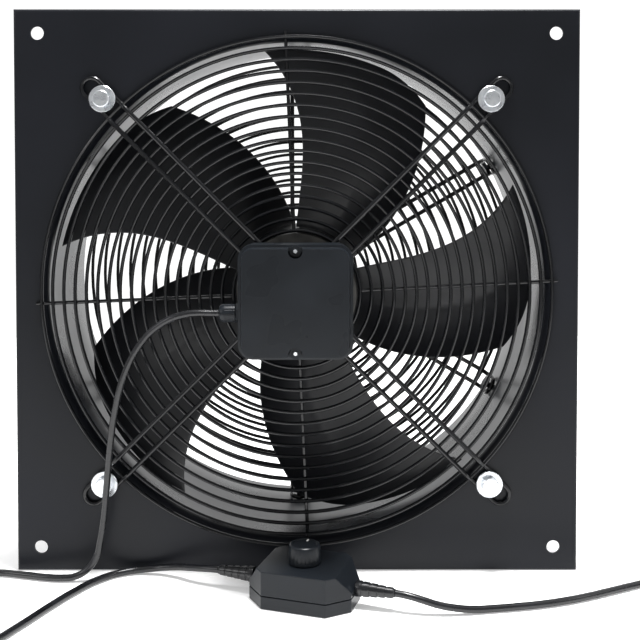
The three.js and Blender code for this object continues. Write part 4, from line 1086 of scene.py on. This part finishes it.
def lay_lead(name, points, *nodes):
    """A lead along points in millimetres, as a curve with a round section."""
    line = bpy.data.curves.new(name, "CURVE")
    line.dimensions = "3D"
    line.resolution_u = 6
    line.bevel_depth = LEAD / 2 * MM
    line.bevel_resolution = 5
    line.use_fill_caps = True
    spline = line.splines.new("BEZIER")
    spline.bezier_points.add(len(points) - 1)
    for knot, place in zip(spline.bezier_points, points):
        knot.co = Vector(place) * MM
        knot.handle_left_type = knot.handle_right_type = "AUTO"
    line.materials.append(black_pvc)
    made = bpy.data.objects.new(name, line)
    bpy.context.collection.objects.link(made)
    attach(made, "frame")
    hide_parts(*nodes)
    return made


def relief_point(side, distance):
    """A point where a lead leaves a boot of the controller, in millimetres."""
    end = LENGTH / 2 + RELIEF_LENGTH + 0.6 + distance
    return stand @ Vector((side * end, 0, RELIEF_Z - 0.06 * distance))


boot("motor_lead_boot", "motor_lead_strain_relief", -1)
boot("supply_lead_boot", "supply_strain_relief", 1)
motor_route = [
    (-62.3, -44, -13),
    (-90.3, -43.8, -14.2),
    (-111.4, -41.7, -23.6),
    (-128.2, -39.4, -41.4),
    (-140.7, -37.8, -66.2),
    (-148.2, -35.8, -94.6),
    (-152.9, -33.7, -126),
    (-156, -32.8, -158.2),
    (-159.2, -33.1, -189),
    (-161.6, -33.6, -203.2),
    (-164.5, -34.4, -215.4),
    (-171.3, -35.5, -225),
    (-181.4, -36.5, -230.7),
    (-193, -36.6, -231.9),
    (-206, -34.9, LEAD_Z),
    (-221.7, -30.9, LEAD_Z),
    (-249.7, -25.1, LEAD_Z),
    (-273.7, -27.4, LEAD_Z),
    (-293.4, -38.6, LEAD_Z),
    (-306.7, -57.7, LEAD_Z),
    (-313.1, -82.8, LEAD_Z),
    (-312.4, -109.6, LEAD_Z),
    (-305.1, -135.6, LEAD_Z),
    (-291.5, -156.9, LEAD_Z),
    (-273.1, -169.9, LEAD_Z),
    (-252.2, -172.9, LEAD_Z),
    (-232.3, -165.7, LEAD_Z),
    (-215.9, -148.4, LEAD_Z),
    (-202.8, -122.3, LEAD_Z),
    (-189.9, -92, LEAD_Z),
    (-176.4, -63.3, LEAD_Z),
    (-161.3, -39, LEAD_Z),
    (-144.4, -24.9, LEAD_Z),
    (-123.5, -21.6, -230.5),
    (-102.5, -26.8, -226.9),
    (-84, -37.6, -223.2),
    relief_point(-1, 9),
    relief_point(-1, 0),
]
motor_lead = lay_lead("black_motor_lead", motor_route, "motor_lead")

# ---- Supply lead and plug
# The same lead leaves the controller's other boot for the mains. Its spare length is wound into a
# round coil of six turns in two layers, under a moulded three-pin plug.

COIL_X, COIL_Y = 335, -73
COIL_OUT, COIL_IN = 39.5, 23
LAYER_TURNS = 3
TURN_POINTS = 16
PLUG_X, PLUG_Y, PLUG_Z = 374.5, -99, FLOOR + 11.5
PLUG_WIDE, PLUG_HIGH, PLUG_FRONT, PLUG_BACK = 25, 22, -56, -22.3
BLADE_X, BLADE_Z, GROUND_PIN_Z, GROUND_PIN_R = 6.35, 5, -6.9, 2.7

supply_route = [
    relief_point(1, 0),
    relief_point(1, 9),
    (97, -97, -223.9),
    (108, -98, -227),
    (121, -97.8, -229.6),
    (136, -96, -231.6),
    (152, -93.3, LEAD_Z),
    (170, -90.2, LEAD_Z),
    (191, -85.6, LEAD_Z),
    (213, -78.6, LEAD_Z),
    (234, -69.6, LEAD_Z),
    (254, -59.8, LEAD_Z),
    (274, -50, LEAD_Z),
    (291, -42.2, LEAD_Z),
    (306, -37.6, LEAD_Z),
]


def coil_point(turn, r, z):
    """A point of the coil, `turn` turns clockwise from its far side."""
    angle = pi / 2 - 2 * pi * turn
    return (COIL_X + r * cos(angle), COIL_Y + r * sin(angle), z)


count = LAYER_TURNS * TURN_POINTS
for k in range(count + 1):
    r = COIL_OUT - (COIL_OUT - COIL_IN) * k / count
    supply_route.append(coil_point(k / TURN_POINTS, r, LEAD_Z))
for k in range(1, 4):
    supply_route.append(coil_point(k / TURN_POINTS, COIL_IN, LEAD_Z + LEAD * k / 4))
for k in range(count + 1):
    r = COIL_IN + (COIL_OUT - COIL_IN) * k / count
    supply_route.append(coil_point(0.25 + k / TURN_POINTS, r, LEAD_Z + LEAD))
supply_route += [(PLUG_X, -84, -224.6), (PLUG_X, PLUG_Y, PLUG_Z)]
supply_lead = lay_lead("black_supply_lead", supply_route, "supply_lead", "supply_lead_coil")

bm = bmesh.new()
spun(
    bm,
    [(2.8, 0), (4.2, 0), (4.4, -4), (3.9, -4.6), (3.9, -6), (5.1, -6.4), (5.4, -10)]
    + [(4.9, -10.6), (4.9, -12), (6.2, -12.4), (6.4, -16), (6.2, -16.6), (6.4, -22), (2.8, -22)],
    40,
)
bmesh.ops.translate(bm, verts=bm.verts, vec=(PLUG_X, PLUG_Y, PLUG_Z))
plug_boot = settle("plug_boot", bm, black_pvc, "frame", "lead_pvc", "plug_strain_relief")
bm = bmesh.new()
rounded_block(bm, PLUG_WIDE, 5, PLUG_FRONT, PLUG_BACK, height=PLUG_HIGH)
bmesh.ops.translate(bm, verts=bm.verts, vec=(PLUG_X, PLUG_Y, PLUG_Z))
plug = settle("moulded_plug", bm, black_pvc, "frame", "lead_pvc", "plug_body")
bm = bmesh.new()
for side in (-1, 1):
    for y in (-30, -33, -36, -39, -42):
        grip = bmesh.ops.create_cube(bm, size=1)["verts"]
        bmesh.ops.scale(bm, verts=grip, vec=(1.6, 1.3, 14))
        bmesh.ops.translate(bm, verts=grip, vec=(side * (PLUG_WIDE / 2 + 0.1), y, 0))
for x in (-BLADE_X, BLADE_X):
    slot = bmesh.ops.create_cube(bm, size=1)["verts"]
    bmesh.ops.scale(bm, verts=slot, vec=(2.1, 20, 7))
    bmesh.ops.translate(bm, verts=slot, vec=(x, PLUG_FRONT - 2, BLADE_Z))
rod(bm, GROUND_PIN_R, PLUG_FRONT - 12, PLUG_FRONT + 8, 24, 0, GROUND_PIN_Z)
bmesh.ops.translate(bm, verts=bm.verts, vec=(PLUG_X, PLUG_Y, PLUG_Z))
carve(plug, bm, 0.5)
keep(brass, "plug_blade_1", "plug_blade_2", "plug_ground_pin")
